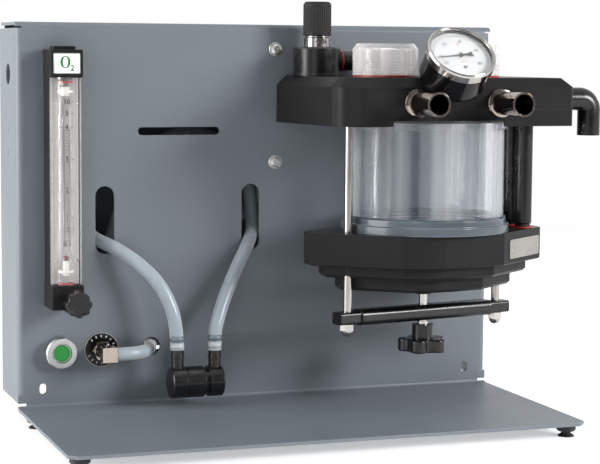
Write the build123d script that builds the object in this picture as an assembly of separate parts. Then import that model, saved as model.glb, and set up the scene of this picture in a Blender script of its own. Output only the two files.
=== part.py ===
from build123d import *
import math
import os

# Compact inhalation anaesthesia machine: a folded panel on a shelf, with an oxygen flowmeter, a flush
# valve, a fresh gas outlet, two vaporizer hoses and a circle breathing head with an absorber canister.
# Millimetres. X is across the panel from its middle, +Y goes to the back and +Z up. The front plane of
# the panel is Y = 0, and the underside of the shelf is Z = 5, which is FOOT_H above the bench.

# ---------------------------------------------------------------- driving dimensions
SHEET = 3.0
FOOT_H = 12.0
SHELF_LOW = 5.0
PANEL_W = 480.0
PANEL_H = 360.0
SHELF_D = 221.0
FLANGE_D = 80.0
TOP_FLANGE_D = 73.0
BEND_R = 6.0

# The row's origin is the middle of the footprint on the bench, cords left out.
ORIGIN_X = 34.9
ORIGIN_Y = -70.5
ORIGIN_Z = SHELF_LOW - FOOT_H

SHELF_TOP = SHELF_LOW + SHEET
PANEL_TOP = SHELF_TOP + PANEL_H
HALF_W = PANEL_W / 2

FLOW_X = -199.8
FLOW_W = 30.0
FLOW_D = 36.0
FLOW_BOTTOM = 104.0
FLOW_BLOCK_TOP = 126.0
FLOW_CAP_BOTTOM = 317.4
FLOW_TOP = 342.6
CHANNEL_D = 22.0
TUBE_LOW = FLOW_BLOCK_TOP - 5
TUBE_LENGTH = FLOW_CAP_BOTTOM - FLOW_BLOCK_TOP + 10
TUBE_BORE = (2.9, 3.9)
TUBE_Y = -27.0
KNOB_X = -195.5
KNOB_Z = 111.8

FLUSH_X = -200.5
FLUSH_Z = 59.7
OUTLET_X = -160.4
OUTLET_Z = 59.9
HOSE_OD = 12.7
HOSE_HOLE = (-111.8, 60.7)

FLOW_OUT_Z = 300.0
FLOW_IN_Z = 118.0
HEAD_GAS_X = 50.0
HEAD_GAS_Z = 294.2

AXIS_X = 133.0
AXIS_Y = -87.0
HEAD_FRONT = -142.0
HEAD_LEFT = 13.5
HEAD_RIGHT = 260.0
HEAD_BOTTOM = 274.6
HEAD_SEAM = 290.3
HEAD_TOP = 319.4
HEAD_CHAMFER = 9.0
PORT_X = (101.3, 184.4)
PORT_Z = 296.2
PORT_R = 11.0
PORT_END = -191.0
DOME_X = (91.2, 175.4)
DOME_R = 30.8
DOME_TOP = 350.4
CHAMBER_R = 24.0
CHAMBER_FLOOR = 300.0
SEAT_R = 15.0
DISC_R = 17.0
DISC_T = 1.0
DISC_LIFT = 4.0

APL_X = 45.0
APL_Y = -27.0
APL_R = 22.5
APL_TOP = 346.9
APL_RING_TOP = 357.2
APL_KNOB_TOP = 389.8
APL_KNOB_R = 13.4
APL_PIPE_Z = 333.9
APL_CUP_TRAVEL = 4.0

GAUGE_X = 134.0
GAUGE_R = 32.4
GAUGE_DEPTH = 37.0
GAUGE_STANDOFF = 3.3
GAUGE_FACE_Y = -166.1
GAUGE_FACE_Z = 343.3

ELBOW_Y = -100.0
ELBOW_Z = 299.0
ELBOW_X = 298.8
ELBOW_R = 11.0
ELBOW_BOTTOM = 263.9

CANISTER_R = 74.5
CANISTER_WALL = 4.0
RIM_R = 77.4
RIM_BOTTOM = 272.4
RIM_TOP = 278.2
SOCKET_R = 78.0
SOCKET_TOP = 278.6
RING_1 = (77.0, 190.0)
RING_2 = (79.8, 183.3)
BASE_TOP = 175.4
BASE_BOTTOM = 145.0
STEP_1_BOTTOM = 133.5
STEP_2_BOTTOM = 121.0
BASE_HALF = 118.0
BASE_END = 9.0
BASE_SHOULDER = (56.0, -59.0)
BASE_FRONT = 72.5
STEP_SCALES = (1.0, 0.877, 0.742)
BASE_DROP = 9.0

ROD_R = 4.0
ROD_SPREAD = 86.0
ROD_ANGLE = 12.0
BAR_Z = 96.0
BAR_H = 14.6
BAR_END_H = 11.4
BAR_W = 20.0
SCREW_R = 4.1
TUBE_SPOTS = ((230.0, -100.0), (230.0, -74.0))
TRANSFER_R = 8.5


# ---------------------------------------------------------------- small helpers
def rod_z(x, y, low, high, radius):
    return Pos(x, y, (low + high) / 2) * Cylinder(radius, high - low)


def rod_y(x, z, near, far, radius):
    return Pos(x, (near + far) / 2, z) * Rot(90, 0, 0) * Cylinder(radius, far - near)


def rod_x(y, z, left, right, radius):
    return Pos((left + right) / 2, y, z) * Rot(0, 90, 0) * Cylinder(radius, right - left)


def block(left, right, near, far, low, high):
    centre = Pos((left + right) / 2, (near + far) / 2, (low + high) / 2)
    return centre * Box(right - left, far - near, high - low)


def turned(points):
    """Solid of revolution about Z from (radius, height) points."""
    return revolve(make_face(Plane.XZ * Polyline(*points, close=True)), Axis.Z)


def facing_front(x, z, y=0.0):
    """Turns a part's own +Z to point out of the front of the panel."""
    return Pos(x, y, z) * Rot(90, 0, 0)


def facing_back(x, z, y=0.0):
    return Pos(x, y, z) * Rot(-90, 0, 0)


def hexagon(width, height):
    """Hexagonal prism standing on Z = 0, `width` across its flats."""
    return extrude(RegularPolygon(width / math.sqrt(3), 6), height)


def slot_cut(x, z, width, height):
    """Cutter for a hole with rounded ends through the panel."""
    if width > height:
        outline = SlotOverall(width, height)
    else:
        outline = Rot(0, 0, 90) * SlotOverall(height, width)
    return facing_front(x, z, SHEET + 5) * extrude(outline, SHEET + 10)


def helix_spring(radius, wire, low, high, turns):
    path = Pos(0, 0, low + wire) * Helix((high - low - 2 * wire) / turns, high - low - 2 * wire, radius)
    section = Plane(origin=path @ 0, z_dir=path % 0) * Circle(wire)
    return sweep(section, path=path, is_frenet=True)


def route_radii(points):
    """One bend radius for each inner corner: 0.45 of the shorter run over the tangent of half the turn."""
    radii = []
    for before, corner, after in zip(points, points[1:], points[2:]):
        run_in = Vector(*corner) - Vector(*before)
        run_out = Vector(*after) - Vector(*corner)
        turn = math.radians(run_in.get_angle(run_out))
        radii.append(0.45 * min(run_in.length, run_out.length) / math.tan(turn / 2))
    return radii


def hose(name, points, diameter):
    """Solid hose along straight runs joined by tangent arcs."""
    radii = route_radii(points)
    path = FilletPolyline(*points, radius=radii)
    section = Plane(origin=path @ 0, z_dir=path % 0) * Circle(diameter / 2)
    tube = sweep(section, path=path)
    expected = math.pi * diameter ** 2 / 4 * path.length
    print(name, "radii", [round(r) for r in radii], "length", round(path.length, 1))
    print(name, "volume against section x length:", round(tube.volume / expected, 4))
    return tube


# ---------------------------------------------------------------- folded chassis
def bent_strip(corners, inner, outer):
    """Face of a bent sheet in the YZ plane; `inner` and `outer` list its bend corners."""
    face = make_face(Plane.YZ * Polyline(*corners, close=True))
    for spots, radius in ((inner, BEND_R - SHEET), (outer, BEND_R)):
        for spot in spots:
            vertex = face.vertices().sort_by_distance(Vector(0, *spot))[0]
            face = fillet(vertex, radius)
    return face


def chassis_panel():
    shelf_end = 12.0
    shelf = bent_strip(
        [(-SHELF_D, SHELF_LOW), (SHEET, SHELF_LOW), (SHEET, SHELF_TOP + shelf_end), (0, SHELF_TOP + shelf_end),
         (0, SHELF_TOP), (-SHELF_D, SHELF_TOP)],
        [(0, SHELF_TOP)], [(SHEET, SHELF_LOW)])
    body = extrude(shelf, HALF_W, both=True)
    corner = 8.0
    front_corners = body.edges().filter_by(Axis.Z).group_by(Axis.Y)[0]
    body = chamfer(front_corners, corner)
    top = bent_strip(
        [(0, SHELF_TOP + shelf_end), (SHEET, SHELF_TOP + shelf_end), (SHEET, PANEL_TOP - SHEET),
         (TOP_FLANGE_D, PANEL_TOP - SHEET), (TOP_FLANGE_D, PANEL_TOP), (0, PANEL_TOP)],
        [(SHEET, PANEL_TOP - SHEET)], [(0, PANEL_TOP)])
    body += extrude(top, HALF_W - BEND_R, both=True)
    slit_top = PANEL_TOP - 4.2
    full_width = block(-HALF_W, HALF_W, -1, FLANGE_D, slit_top, PANEL_TOP)
    body += extrude(top, HALF_W, both=True) & full_width
    # Side flanges are bent back from the panel, with reliefs at the corners.
    wrap = Polyline(
        (-HALF_W, FLANGE_D), (-HALF_W, 0), (HALF_W, 0), (HALF_W, FLANGE_D),
        (HALF_W - SHEET, FLANGE_D), (HALF_W - SHEET, SHEET), (SHEET - HALF_W, SHEET),
        (SHEET - HALF_W, FLANGE_D), close=True)
    wrap = make_face(wrap)
    for side in (-1, 1):
        outer = wrap.vertices().sort_by_distance(Vector(side * HALF_W, 0, 0))[0]
        wrap = fillet(outer, BEND_R)
        inner = wrap.vertices().sort_by_distance(Vector(side * (HALF_W - SHEET), SHEET, 0))[0]
        wrap = fillet(inner, BEND_R - SHEET)
    side_low = SHELF_TOP + 4
    side_high = slit_top - 1.5
    body += Pos(0, 0, side_low) * extrude(wrap, side_high - side_low)
    relief = block(-HALF_W - 1, -HALF_W + 8, -1, BEND_R + 3, SHELF_TOP + 1, side_low)
    body -= relief
    body -= mirror(relief, Plane.YZ)
    # Slots for the vaporizer, mounting holes and holes for the fittings.
    body -= slot_cut(-84.2, SHELF_TOP + 258.4, 80.7, 7.6)
    for x in (-156.7, -12.4):
        body -= slot_cut(x, SHELF_TOP + 175, 18.2, 64)
    for x in (-216.4, 216.6):
        body -= slot_cut(x, SHELF_TOP + 17, 6.6, 10.2)
    for x, z, radius in ((*HOSE_HOLE, 9.0), (FLUSH_X, FLUSH_Z, 10.2), (OUTLET_X, OUTLET_Z, 8.2),
                         (FLOW_X, FLOW_OUT_Z, 6.0), (FLOW_X, FLOW_IN_Z, 6.0),
                         (HEAD_GAS_X, HEAD_GAS_Z, 6.0)):
        body -= rod_y(x, z, -5, SHEET + 5, radius)
    for x, z in PANEL_SCREWS + HEAD_BOLTS:
        body -= rod_y(x, z, -5, SHEET + 5, 3.2)
    # Supply hole and ventilation nicks in the side flanges.
    body -= rod_x(39, SHELF_TOP + 311.6, -HALF_W - 1, -HALF_W + SHEET + 1, 10.0)
    body -= rod_x(INLET_Y, INLET_Z, HALF_W - SHEET - 1, HALF_W + 1, 8.0)
    for z in (258.8, 238.0):
        body -= block(-HALF_W - 1, -HALF_W + SHEET + 1, 38.7, 40.3, SHELF_TOP + z - 2.5, SHELF_TOP + z + 2.5)
    return body


PANEL_SCREWS = ((12.4, SHELF_TOP + 336.5), (12.5, SHELF_TOP + 227.7), (205.0, SHELF_TOP + 336.5))
HEAD_BOLTS = ((90.0, PORT_Z), (170.0, PORT_Z), (230.0, PORT_Z))
INLET_Y = 40.0
INLET_Z = 296.0
STIFFENER_T = 4.0


def rubber_feet():
    """Suction feet: a collar under the shelf, a neck and a cup."""
    foot = turned([(0, 0), (7.6, 0), (7.6, 0.8), (4.4, 3), (4.4, FOOT_H - 7), (7.6, FOOT_H - 7),
                   (9.0, FOOT_H - 5.6), (9.0, FOOT_H), (0, FOOT_H)])
    return [Pos(x, y, ORIGIN_Z) * foot for x in (-227, 227) for y in (-203, -22)]


def rear_cover():
    """Thin sheet inside the flanges that closes the back, with ventilation slots."""
    inside = HALF_W - SHEET
    cover = block(-inside, inside, COVER_Y, COVER_Y + 1.5, SHELF_TOP + 10, PANEL_TOP - SHEET)
    for column in (-1, 1):
        for row in range(6):
            slot = slot_cut(column * 120, SHELF_TOP + 40 + 12 * row, 90, 3.6)
            cover -= Pos(0, COVER_Y - SHEET, 0) * slot
    return cover


COVER_Y = 70.0


def rear_stiffener():
    """Brace behind the panel that carries the weight of the breathing head."""
    plate = block(-6, 222, SHEET, SHEET + STIFFENER_T, SHELF_TOP + 214, SHELF_TOP + 350)
    plate = fillet(plate.edges().filter_by(Axis.Y), 6)
    plate -= block(30, 190, 0, 20, SHELF_TOP + 232, SHELF_TOP + 268)
    plate -= rod_y(HEAD_GAS_X, HEAD_GAS_Z, 0, 20, 7.0)
    for x, z in PANEL_SCREWS + HEAD_BOLTS:
        plate -= rod_y(x, z, 0, 20, 3.2)
    return plate


def panel_fasteners():
    """Socket screws with washers and nuts through the panel, and the bolts that hold the head."""
    solids = []
    washer = turned([(3.3, 0), (6.9, 0), (6.9, 0.7), (6.4, 1.2), (3.3, 1.2)])
    head = turned([(0, 0), (5.2, 0), (5.2, 1.2), (3.2, 2.6), (0, 2.6)]) - Pos(0, 0, 1.0) * hexagon(3.2, 3)
    shank = Pos(0, 0, -16) * Cylinder(2.95, 16, align=(Align.CENTER, Align.CENTER, Align.MIN))
    nut = hexagon(10, 5) - Pos(0, 0, -1) * Cylinder(3.0, 7, align=(Align.CENTER, Align.CENTER, Align.MIN))
    for x, z in PANEL_SCREWS:
        solids.append(facing_front(x, z) * washer)
        solids.append(facing_front(x, z, -1.25) * (head + shank))
        solids.append(facing_back(x, z, SHEET + STIFFENER_T) * nut)
    bolt = hexagon(10, 4) + Pos(0, 0, -26) * Cylinder(2.95, 26, align=(Align.CENTER, Align.CENTER, Align.MIN))
    for x, z in HEAD_BOLTS:
        solids.append(facing_back(x, z, SHEET + STIFFENER_T) * bolt)
    for x, z, radius in ((FLUSH_X, FLUSH_Z, 10.0), (OUTLET_X, OUTLET_Z, 8.0)):
        ring = hexagon(radius * 2 + 7, 5)
        ring -= Pos(0, 0, -1) * Cylinder(radius + 0.05, 7, align=(Align.CENTER, Align.CENTER, Align.MIN))
        solids.append(facing_back(x, z, SHEET) * ring)
    return solids


# ---------------------------------------------------------------- oxygen flowmeter
def flowmeter_body():
    left = FLOW_X - FLOW_W / 2
    right = FLOW_X + FLOW_W / 2
    low = block(left, right, -FLOW_D, 0, FLOW_BOTTOM, FLOW_BLOCK_TOP)
    low = fillet(low.edges().filter_by(Axis.Z), 1.0)
    cap = fillet(block(left, right, -FLOW_D, 0, FLOW_CAP_BOTTOM, FLOW_TOP).edges().filter_by(Axis.Z), 1.2)
    channel = block(left + 0.6, right - 0.6, -CHANNEL_D, 0, FLOW_BLOCK_TOP, FLOW_CAP_BOTTOM)
    groove = block(FLOW_X - 9, FLOW_X + 9, -CHANNEL_D - 1, -CHANNEL_D + 4, FLOW_BLOCK_TOP, FLOW_CAP_BOTTOM)
    body = low + cap + (channel - groove)
    lug = block(FLOW_X - 10.5, FLOW_X + 10.5, -26, -8, FLOW_TOP, FLOW_TOP + 3.2)
    body += fillet(lug.edges().filter_by(Axis.Z), 2)
    # Gas ways: inlet, needle valve bore, tube sockets and outlet.
    body -= rod_y(KNOB_X, KNOB_Z, -FLOW_D - 1, -12, 4.0)
    body -= rod_z(FLOW_X, TUBE_Y, KNOB_Z, FLOW_BLOCK_TOP + 1, 2.0)
    body -= rod_y(FLOW_X, FLOW_IN_Z, -14, 1, 2.0)
    body -= rod_z(FLOW_X, TUBE_Y, FLOW_BLOCK_TOP - 5, FLOW_BLOCK_TOP + 1, 6.0)
    body -= rod_z(FLOW_X, TUBE_Y, FLOW_CAP_BOTTOM - 1, FLOW_CAP_BOTTOM + 5, 6.0)
    body -= rod_y(FLOW_X, FLOW_OUT_Z, -CHANNEL_D + 4, 1, 3.0)
    return body


def flowmeter_housing():
    """Clear shield in front of the tube."""
    shield = block(FLOW_X - 13.8, FLOW_X + 13.8, -FLOW_D + 0.3, -CHANNEL_D, FLOW_BLOCK_TOP, FLOW_CAP_BOTTOM)
    shield = fillet(shield.edges().filter_by(Axis.Z).group_by(Axis.Y)[0], 4)
    shield -= rod_z(FLOW_X, TUBE_Y, FLOW_BLOCK_TOP - 1, FLOW_CAP_BOTTOM + 1, 7.4)
    shield -= block(FLOW_X - 7.4, FLOW_X + 7.4, TUBE_Y, -CHANNEL_D + 1, FLOW_BLOCK_TOP - 1, FLOW_CAP_BOTTOM + 1)
    return shield


def flowmeter_tube():
    """Glass tube whose bore widens towards the top."""
    tube = Cylinder(6.0, TUBE_LENGTH, align=(Align.CENTER, Align.CENTER, Align.MIN))
    tube -= Cone(*TUBE_BORE, TUBE_LENGTH, align=(Align.CENTER, Align.CENTER, Align.MIN))
    return Pos(FLOW_X, TUBE_Y, TUBE_LOW) * tube


def flow_float():
    return Pos(FLOW_X, TUBE_Y, FLOAT_Z) * Sphere(2.5)


FLOAT_Z = 151.0
STOP_LOW = 139.0
STOP_HIGH = 304.5


def float_stops():
    """White stop plugs in the two ends of the bore, with a band round the tube."""
    solids = []
    for z, high in ((STOP_LOW, 9.3), (STOP_HIGH, 4.0)):
        band = turned([(6.0, -1.1), (7.3, -1.1), (7.3, 1.1), (6.0, 1.1)])
        solids.append(Pos(FLOW_X, TUBE_Y, z) * band)
        low_r = TUBE_BORE[0] + (TUBE_BORE[1] - TUBE_BORE[0]) * (z - 4 - TUBE_LOW) / TUBE_LENGTH
        high_r = TUBE_BORE[0] + (TUBE_BORE[1] - TUBE_BORE[0]) * (z + high - TUBE_LOW) / TUBE_LENGTH
        solids.append(Pos(FLOW_X, TUBE_Y, z - 4) * Cone(
            low_r, high_r, high + 4, align=(Align.CENTER, Align.CENTER, Align.MIN)))
    return solids


def flowmeter_label():
    plate = block(FLOW_X - 12.4, FLOW_X + 12.0, -FLOW_D - 0.8, -FLOW_D, 320.9, 339.3)
    return plate


def flowmeter_knob():
    """Knob with eight shallow lobes, a plain hub and a dished end, and the needle valve's stem in it."""
    lobes = 8
    grip = Cylinder(12.0, 19, align=(Align.CENTER, Align.CENTER, Align.MIN))
    for i in range(lobes):
        angle = 2 * math.pi * (i + 0.5) / lobes
        grip -= Pos(14.2 * math.cos(angle), 14.2 * math.sin(angle), -1) * Cylinder(
            3.6, 21, align=(Align.CENTER, Align.CENTER, Align.MIN))
    grip = chamfer(grip.edges().group_by(Axis.Z)[-1], 0.8)
    knob = Pos(0, 0, 9) * grip
    knob += turned([(0, 0.5), (8.2, 0.5), (9.5, 9), (0, 9)])
    knob -= Pos(0, 0, -0.5) * Cylinder(3.0, 22, align=(Align.CENTER, Align.CENTER, Align.MIN))
    knob -= Pos(0, 0, 27.2) * Cylinder(8.6, 2, align=(Align.CENTER, Align.CENTER, Align.MIN))
    stem = turned([(0, -22), (3.95, -15), (3.95, 0), (2.95, 0.4), (2.95, 21.4), (0, 21.4)])
    return [facing_front(KNOB_X, KNOB_Z, -FLOW_D) * piece for piece in (knob, stem)]


# ---------------------------------------------------------------- oxygen flush valve
BEZEL_H = 12.0
BUTTON_R = 7.7
FLUSH_TRAVEL = 4.0
FLUSH_BODY_L = 44.0


def flush_bezel():
    profile = [(8.0, 0), (14.9, 0), (14.9, BEZEL_H - 0.9), (14.0, BEZEL_H), (9.4, BEZEL_H), (8.7, BEZEL_H - 1.4),
               (8.0, BEZEL_H - 1.4)]
    return facing_front(FLUSH_X, FLUSH_Z) * turned(profile)


def flush_button():
    """Plunger: a cupped button on a stem that opens the valve."""
    face = BEZEL_H - 0.6
    profile = [(0, -30), (2.0, -30), (2.0, -6), (7.2, -6), (BUTTON_R, -5.4), (BUTTON_R, face),
               (7.1, face + 0.5), (6.7, face + 0.5), (6.7, face - 0.3), (0, face - 0.3)]
    return facing_front(FLUSH_X, FLUSH_Z) * turned(profile)


def flush_valve_body():
    """Valve behind the panel: supply port on top, transfer pipe to the outlet on the right."""
    profile = [(BUTTON_R + 0.3, 0), (9.95, 0), (9.95, -24), (11.5, -24), (11.5, -FLUSH_BODY_L),
               (0, -FLUSH_BODY_L), (0, -FLUSH_BODY_L + 5), (2.35, -FLUSH_BODY_L + 5), (2.35, -22),
               (BUTTON_R + 0.3, -22)]
    valve = facing_front(FLUSH_X, FLUSH_Z) * turned(profile)
    valve += rod_z(FLUSH_X, 36, FLUSH_Z + 10.5, FLUSH_Z + 18, 4.0)
    valve -= rod_z(FLUSH_X, 36, FLUSH_Z, FLUSH_Z + 19, 2.0)
    valve += rod_x(28, FLUSH_Z, FLUSH_X + 10.5, OUTLET_X - 7.5, 3.5)
    valve -= rod_x(28, FLUSH_Z, FLUSH_X, OUTLET_X - 7, 2.0)
    return valve


def flush_spring():
    """Return spring, drawn at its compressed length."""
    return facing_back(FLUSH_X, FLUSH_Z, 22 - SPRING_L) * helix_spring(4.6, 0.55, 0, SPRING_L, 5)


SPRING_L = 11.4


# ---------------------------------------------------------------- fresh gas outlet
ELBOW_CENTRE_Y = -32.0


def outlet_label_disc():
    return facing_front(OUTLET_X, OUTLET_Z) * turned([(8.3, 0), (16.4, 0), (16.4, 0.8), (8.3, 0.8)])


def barb(length, radius):
    """Hose barb standing on Z = 0, with ridges that point back towards its root."""
    ridges = 3
    pitch = (length - 2) / ridges
    points = [(0, 0), (radius - 0.6, 0), (radius - 0.6, 2)]
    for i in range(ridges):
        points.append((radius, 2 + pitch * i + 0.05))
        points.append((radius - 0.9, 2 + pitch * (i + 1)))
    points.append((0, length))
    return turned(points) - Pos(0, 0, -1) * Cylinder(
        radius - 2.2, length + 2, align=(Align.CENTER, Align.CENTER, Align.MIN))


def outlet_bulkhead():
    """Threaded body through the panel, a hexagon in front and an upward barb behind."""
    body = rod_y(OUTLET_X, OUTLET_Z, -10, 19, 7.95)
    body += facing_front(OUTLET_X, OUTLET_Z, -0.8) * hexagon(17, 7)
    body += rod_y(OUTLET_X, OUTLET_Z, -22, -9, 5.6)
    body += block(OUTLET_X - 7.5, OUTLET_X + 7.5, 18, 33, OUTLET_Z - 7.5, OUTLET_Z + 7.5)
    body -= rod_y(OUTLET_X, OUTLET_Z, -23, 26, 3.0)
    body += Pos(OUTLET_X, 25.5, OUTLET_Z + 7.5) * barb(REAR_BARB, 4.7)
    body -= rod_z(OUTLET_X, 25.5, OUTLET_Z, OUTLET_Z + 9, 2.5)
    return body


REAR_BARB = 16.0


def outlet_elbow():
    """Square elbow screwed on the outlet, with its barb pointing to the right."""
    half = 7.3
    body = block(OUTLET_X - half, OUTLET_X + half, ELBOW_CENTRE_Y - half, ELBOW_CENTRE_Y + half,
                 OUTLET_Z - half, OUTLET_Z + half)
    body = chamfer(body.edges(), 0.8)
    body += rod_y(OUTLET_X, OUTLET_Z, ELBOW_CENTRE_Y + half - 1, -14, 7.4)
    body -= rod_y(OUTLET_X, OUTLET_Z, -22, 0, 5.6)
    body -= rod_y(OUTLET_X, OUTLET_Z, ELBOW_CENTRE_Y, 0, 3.0)
    body += Pos(OUTLET_X + half, ELBOW_CENTRE_Y, OUTLET_Z) * Rot(0, 90, 0) * barb(11.0, 4.7)
    body -= rod_x(ELBOW_CENTRE_Y, OUTLET_Z, OUTLET_X, OUTLET_X + half + 13, 2.5)
    return body


# ---------------------------------------------------------------- hoses and their connectors
LOOP_Y = -38.0
LEFT_STEM = (-96.2, LOOP_Y)
RIGHT_STEM = (-59.8, LOOP_Y)
STEM_TOP = 62.4
RIGHT_STEM_TOP = 60.9
STEM_BARB = 10.0

FRESH_GAS_ROUTE = [
    (OUTLET_X + 7.3, -32, 59.9), (-142, -32, 59.9), (-131, -28.5, 60), (-121.5, -20, 60.2), (-115, -7.5, 60.5),
    (-110.5, 7.5, 61.5), (-106.5, 22, 64), (-100, 35.5, 70), (-90.5, 47, 80.5), (-79, 51.5, 93.5),
    (-67, 54, 107.5), (-55, 55.5, 121.5), (-43, 56.5, 135.5), (-31, 57.5, 149), (-19, 59, 163.5),
    (-7, 58.5, 178), (4.5, 57, 192.5), (16, 53, 206.5), (26.5, 46.5, 220.5), (36, 37.5, 234.5),
    (43.5, 29, 249), (48.5, 23.5, 262), (50, 22, 274.5), (50, 22, 287.2),
]
LEFT_ROUTE = [
    (FLOW_X, 22, 293), (FLOW_X, 22, 277), (-196.5, 26.5, 256), (-189, 34.5, 235), (-182, 40.5, 213.5),
    (-177, 40.5, 192), (-171, 30.5, 174.5), (-163, 13, 163.5), (-153, -5.5, 159.5), (-140, -17.5, 151.5),
    (-124.5, -25, 139), (-111, -30.5, 123.5), (-101.5, -35, 104), (-97, -37.5, 83), (*LEFT_STEM, STEM_TOP),
]
RIGHT_ROUTE = [
    (*RIGHT_STEM, RIGHT_STEM_TOP), (*RIGHT_STEM, 77), (-55.5, -34.5, 90), (-49, -29.5, 105), (-40, -23.5, 122),
    (-30, -17.5, 139.5), (-18, -8, 156), (-8, 9.5, 166), (-2, 26, 175.5), (0, 37.5, 192), (-1, 43, 213),
    (-7, 46.5, 233), (-20, 48.5, 250), (-39, 50, 260), (-60.5, 50, 262.5), (-81.5, 50.5, 258.5),
    (-99.5, 50, 247), (-113, 50, 230), (-121.5, 50, 210.5), (-129.5, 48, 190), (-137, 44.5, 170.5),
    (-144.5, 39.5, 150.5), (-151, 34.5, 130.5), (-156.5, 29.5, 110), (-159.5, 26.5, 89.5), (OUTLET_X, 25.5, 67.4),
]


TAPER_Z = 31.4
TAPER_DEPTH = 18.3
TAPER_INNER_R = 10.9
TAPER_OUTER_R = 11.4


def hose_stem(x, y, low, high):
    """Upright stem with a bead, and the narrower barb on which the hose is pushed."""
    stem = rod_z(x, y, low, high, 5.9)
    stem += rod_z(x, y, high - 7.4, high - 5.0, 6.4)
    return stem + Pos(x, y, high) * barb(STEM_BARB, 4.7)


def left_taper_elbow():
    """Hose elbow that ends in the larger, female half of the joined taper."""
    x, y = LEFT_STEM
    body = rod_x(y, TAPER_Z, x - 7.2, x + 7.0, 14.8)
    body = chamfer(body.edges().filter_by(GeomType.CIRCLE).group_by(Axis.X)[0], 1.0)
    body += rod_x(y, TAPER_Z, x + 6.9, x + 8.5, 13.8)
    body += rod_x(y, TAPER_Z, x + 8.4, x + 24.3, 14.8)
    body += hose_stem(x, y, TAPER_Z, STEM_TOP)
    body -= Pos(x + 24.3 - TAPER_DEPTH, y, TAPER_Z) * Rot(0, 90, 0) * Cone(
        TAPER_INNER_R, TAPER_OUTER_R, TAPER_DEPTH, align=(Align.CENTER, Align.CENTER, Align.MIN))
    body -= rod_z(x, y, TAPER_Z, STEM_TOP + STEM_BARB + 1, 2.5)
    return body


def right_taper_elbow():
    """Hose elbow that ends in the male cone."""
    x, y = RIGHT_STEM
    face = LEFT_STEM[0] + 24.3
    reach = TAPER_DEPTH - 2.5
    tip_r = TAPER_OUTER_R - (TAPER_OUTER_R - TAPER_INNER_R) * reach / TAPER_DEPTH
    body = rod_x(y, TAPER_Z, x - 7.3, x + 6.7, 14.6)
    body = chamfer(body.edges().filter_by(GeomType.CIRCLE).group_by(Axis.X)[-1], 1.0)
    body += rod_x(y, TAPER_Z, face, x - 7.2, 12.0)
    body += Pos(face, y, TAPER_Z) * Rot(0, -90, 0) * Cone(
        TAPER_OUTER_R, tip_r, reach, align=(Align.CENTER, Align.CENTER, Align.MIN))
    body += hose_stem(x, y, TAPER_Z, RIGHT_STEM_TOP)
    body -= rod_x(y, TAPER_Z, face - reach - 1, x - 2, 8.4)
    body -= rod_z(x, y, TAPER_Z, RIGHT_STEM_TOP + STEM_BARB + 1, 2.5)
    return body


def rear_barb_elbows():
    """Brass elbows behind the panel: flowmeter outlet and fresh gas inlet of the head."""
    solids = []
    centre = 22
    for x, z, tip, seat in ((FLOW_X, FLOW_OUT_Z, 0.0, SHEET), (HEAD_GAS_X, HEAD_GAS_Z, -12.0, SHEET + STIFFENER_T)):
        body = rod_y(x, z, tip, centre, 5.8)
        body += facing_back(x, z, seat) * hexagon(17, 5)
        body += block(x - 7, x + 7, centre - 7, centre + 7, z - 7, z + 7)
        body -= rod_y(x, z, tip - 1, centre, 3.0)
        body += Pos(x, centre, z - 7) * Rot(180, 0, 0) * barb(REAR_BARB, 4.7)
        body -= rod_z(x, centre, z - 8 - REAR_BARB, z, 2.5)
        solids.append(body)
    return solids


# ---------------------------------------------------------------- oxygen supply behind the panel
MANIFOLD = (-120.0, 96.0)


def oxygen_inlet():
    """Threaded supply inlet in the right flange."""
    profile = [(3.0, -26), (5.2, -26), (5.2, -14), (7.9, -14), (7.9, 0), (11.0, 0), (11.0, 4), (7.2, 4),
               (7.2, 16), (6.4, 17), (3.0, 17)]
    nut = Pos(0, 0, -SHEET - 6) * (hexagon(21, 6) - Pos(0, 0, -1) * Cylinder(
        7.9, 8, align=(Align.CENTER, Align.CENTER, Align.MIN)))
    return Pos(HALF_W, INLET_Y, INLET_Z) * Rot(0, 90, 0) * (turned(profile) + nut)


def gas_manifold():
    x, z = MANIFOLD
    body = block(x - 26, x + 26, SHEET, SHEET + 20, z - 11, z + 11)
    body = chamfer(body.edges().filter_by(Axis.Y), 1.5)
    body -= rod_x(13, z, x - 22, x + 27, 3.0)
    for offset in (-16, 0, 16):
        body += rod_y(x + offset, z, 22, 31, 4.2)
        body -= rod_y(x + offset, z, 12, 32, 2.0)
    return body


def oxygen_tubes():
    """Narrow nylon tubes: supply to manifold, manifold to flowmeter and manifold to flush valve."""
    return [hose("oxygen tube", route, 5.0) for route in OXYGEN_ROUTES]


OXYGEN_ROUTES = (
    [(HALF_W - 26, 40, INLET_Z), (196, 40, INLET_Z), (178, 42, 284), (164, 44, 266), (150.5, 47, 243),
     (134, 50, 218), (112, 53, 196), (91.5, 56, 179), (70, 59, 164), (47.5, 62, 151), (24, 64.5, 140.5),
     (-0.5, 66.5, 133), (-25.5, 67.5, 127), (-50, 67, 121.5), (-71, 64, 114), (-87, 58, 105.5),
     (-97.5, 50.5, 99), (-104, 41.5, 96), (-104, 31, 96)],
    [(-136, 31, 96), (-136, 37, 96), (-139.5, 42.5, 98.5), (-147, 45, 104), (-157, 44, 110.5),
     (-168, 41, 115.5), (-180, 36, 118.2), (-190.5, 28.5, 118.5), (-197.5, 18, 118.2), (FLOW_X, 8, FLOW_IN_Z),
     (FLOW_X, 0, FLOW_IN_Z)],
    [(-120, 31, 96), (-120, 37, 96), (-123.5, 44, 96.5), (-131, 49, 98), (-143, 51, 99.5), (-157, 51, 100.5),
     (-171, 49, 100.5), (-183, 45.5, 98.5), (-192.5, 41, 94), (-198.5, 37.5, 89), (FLUSH_X, 36, 83.5),
     (FLUSH_X, 36, FLUSH_Z + 18)],
)


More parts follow.
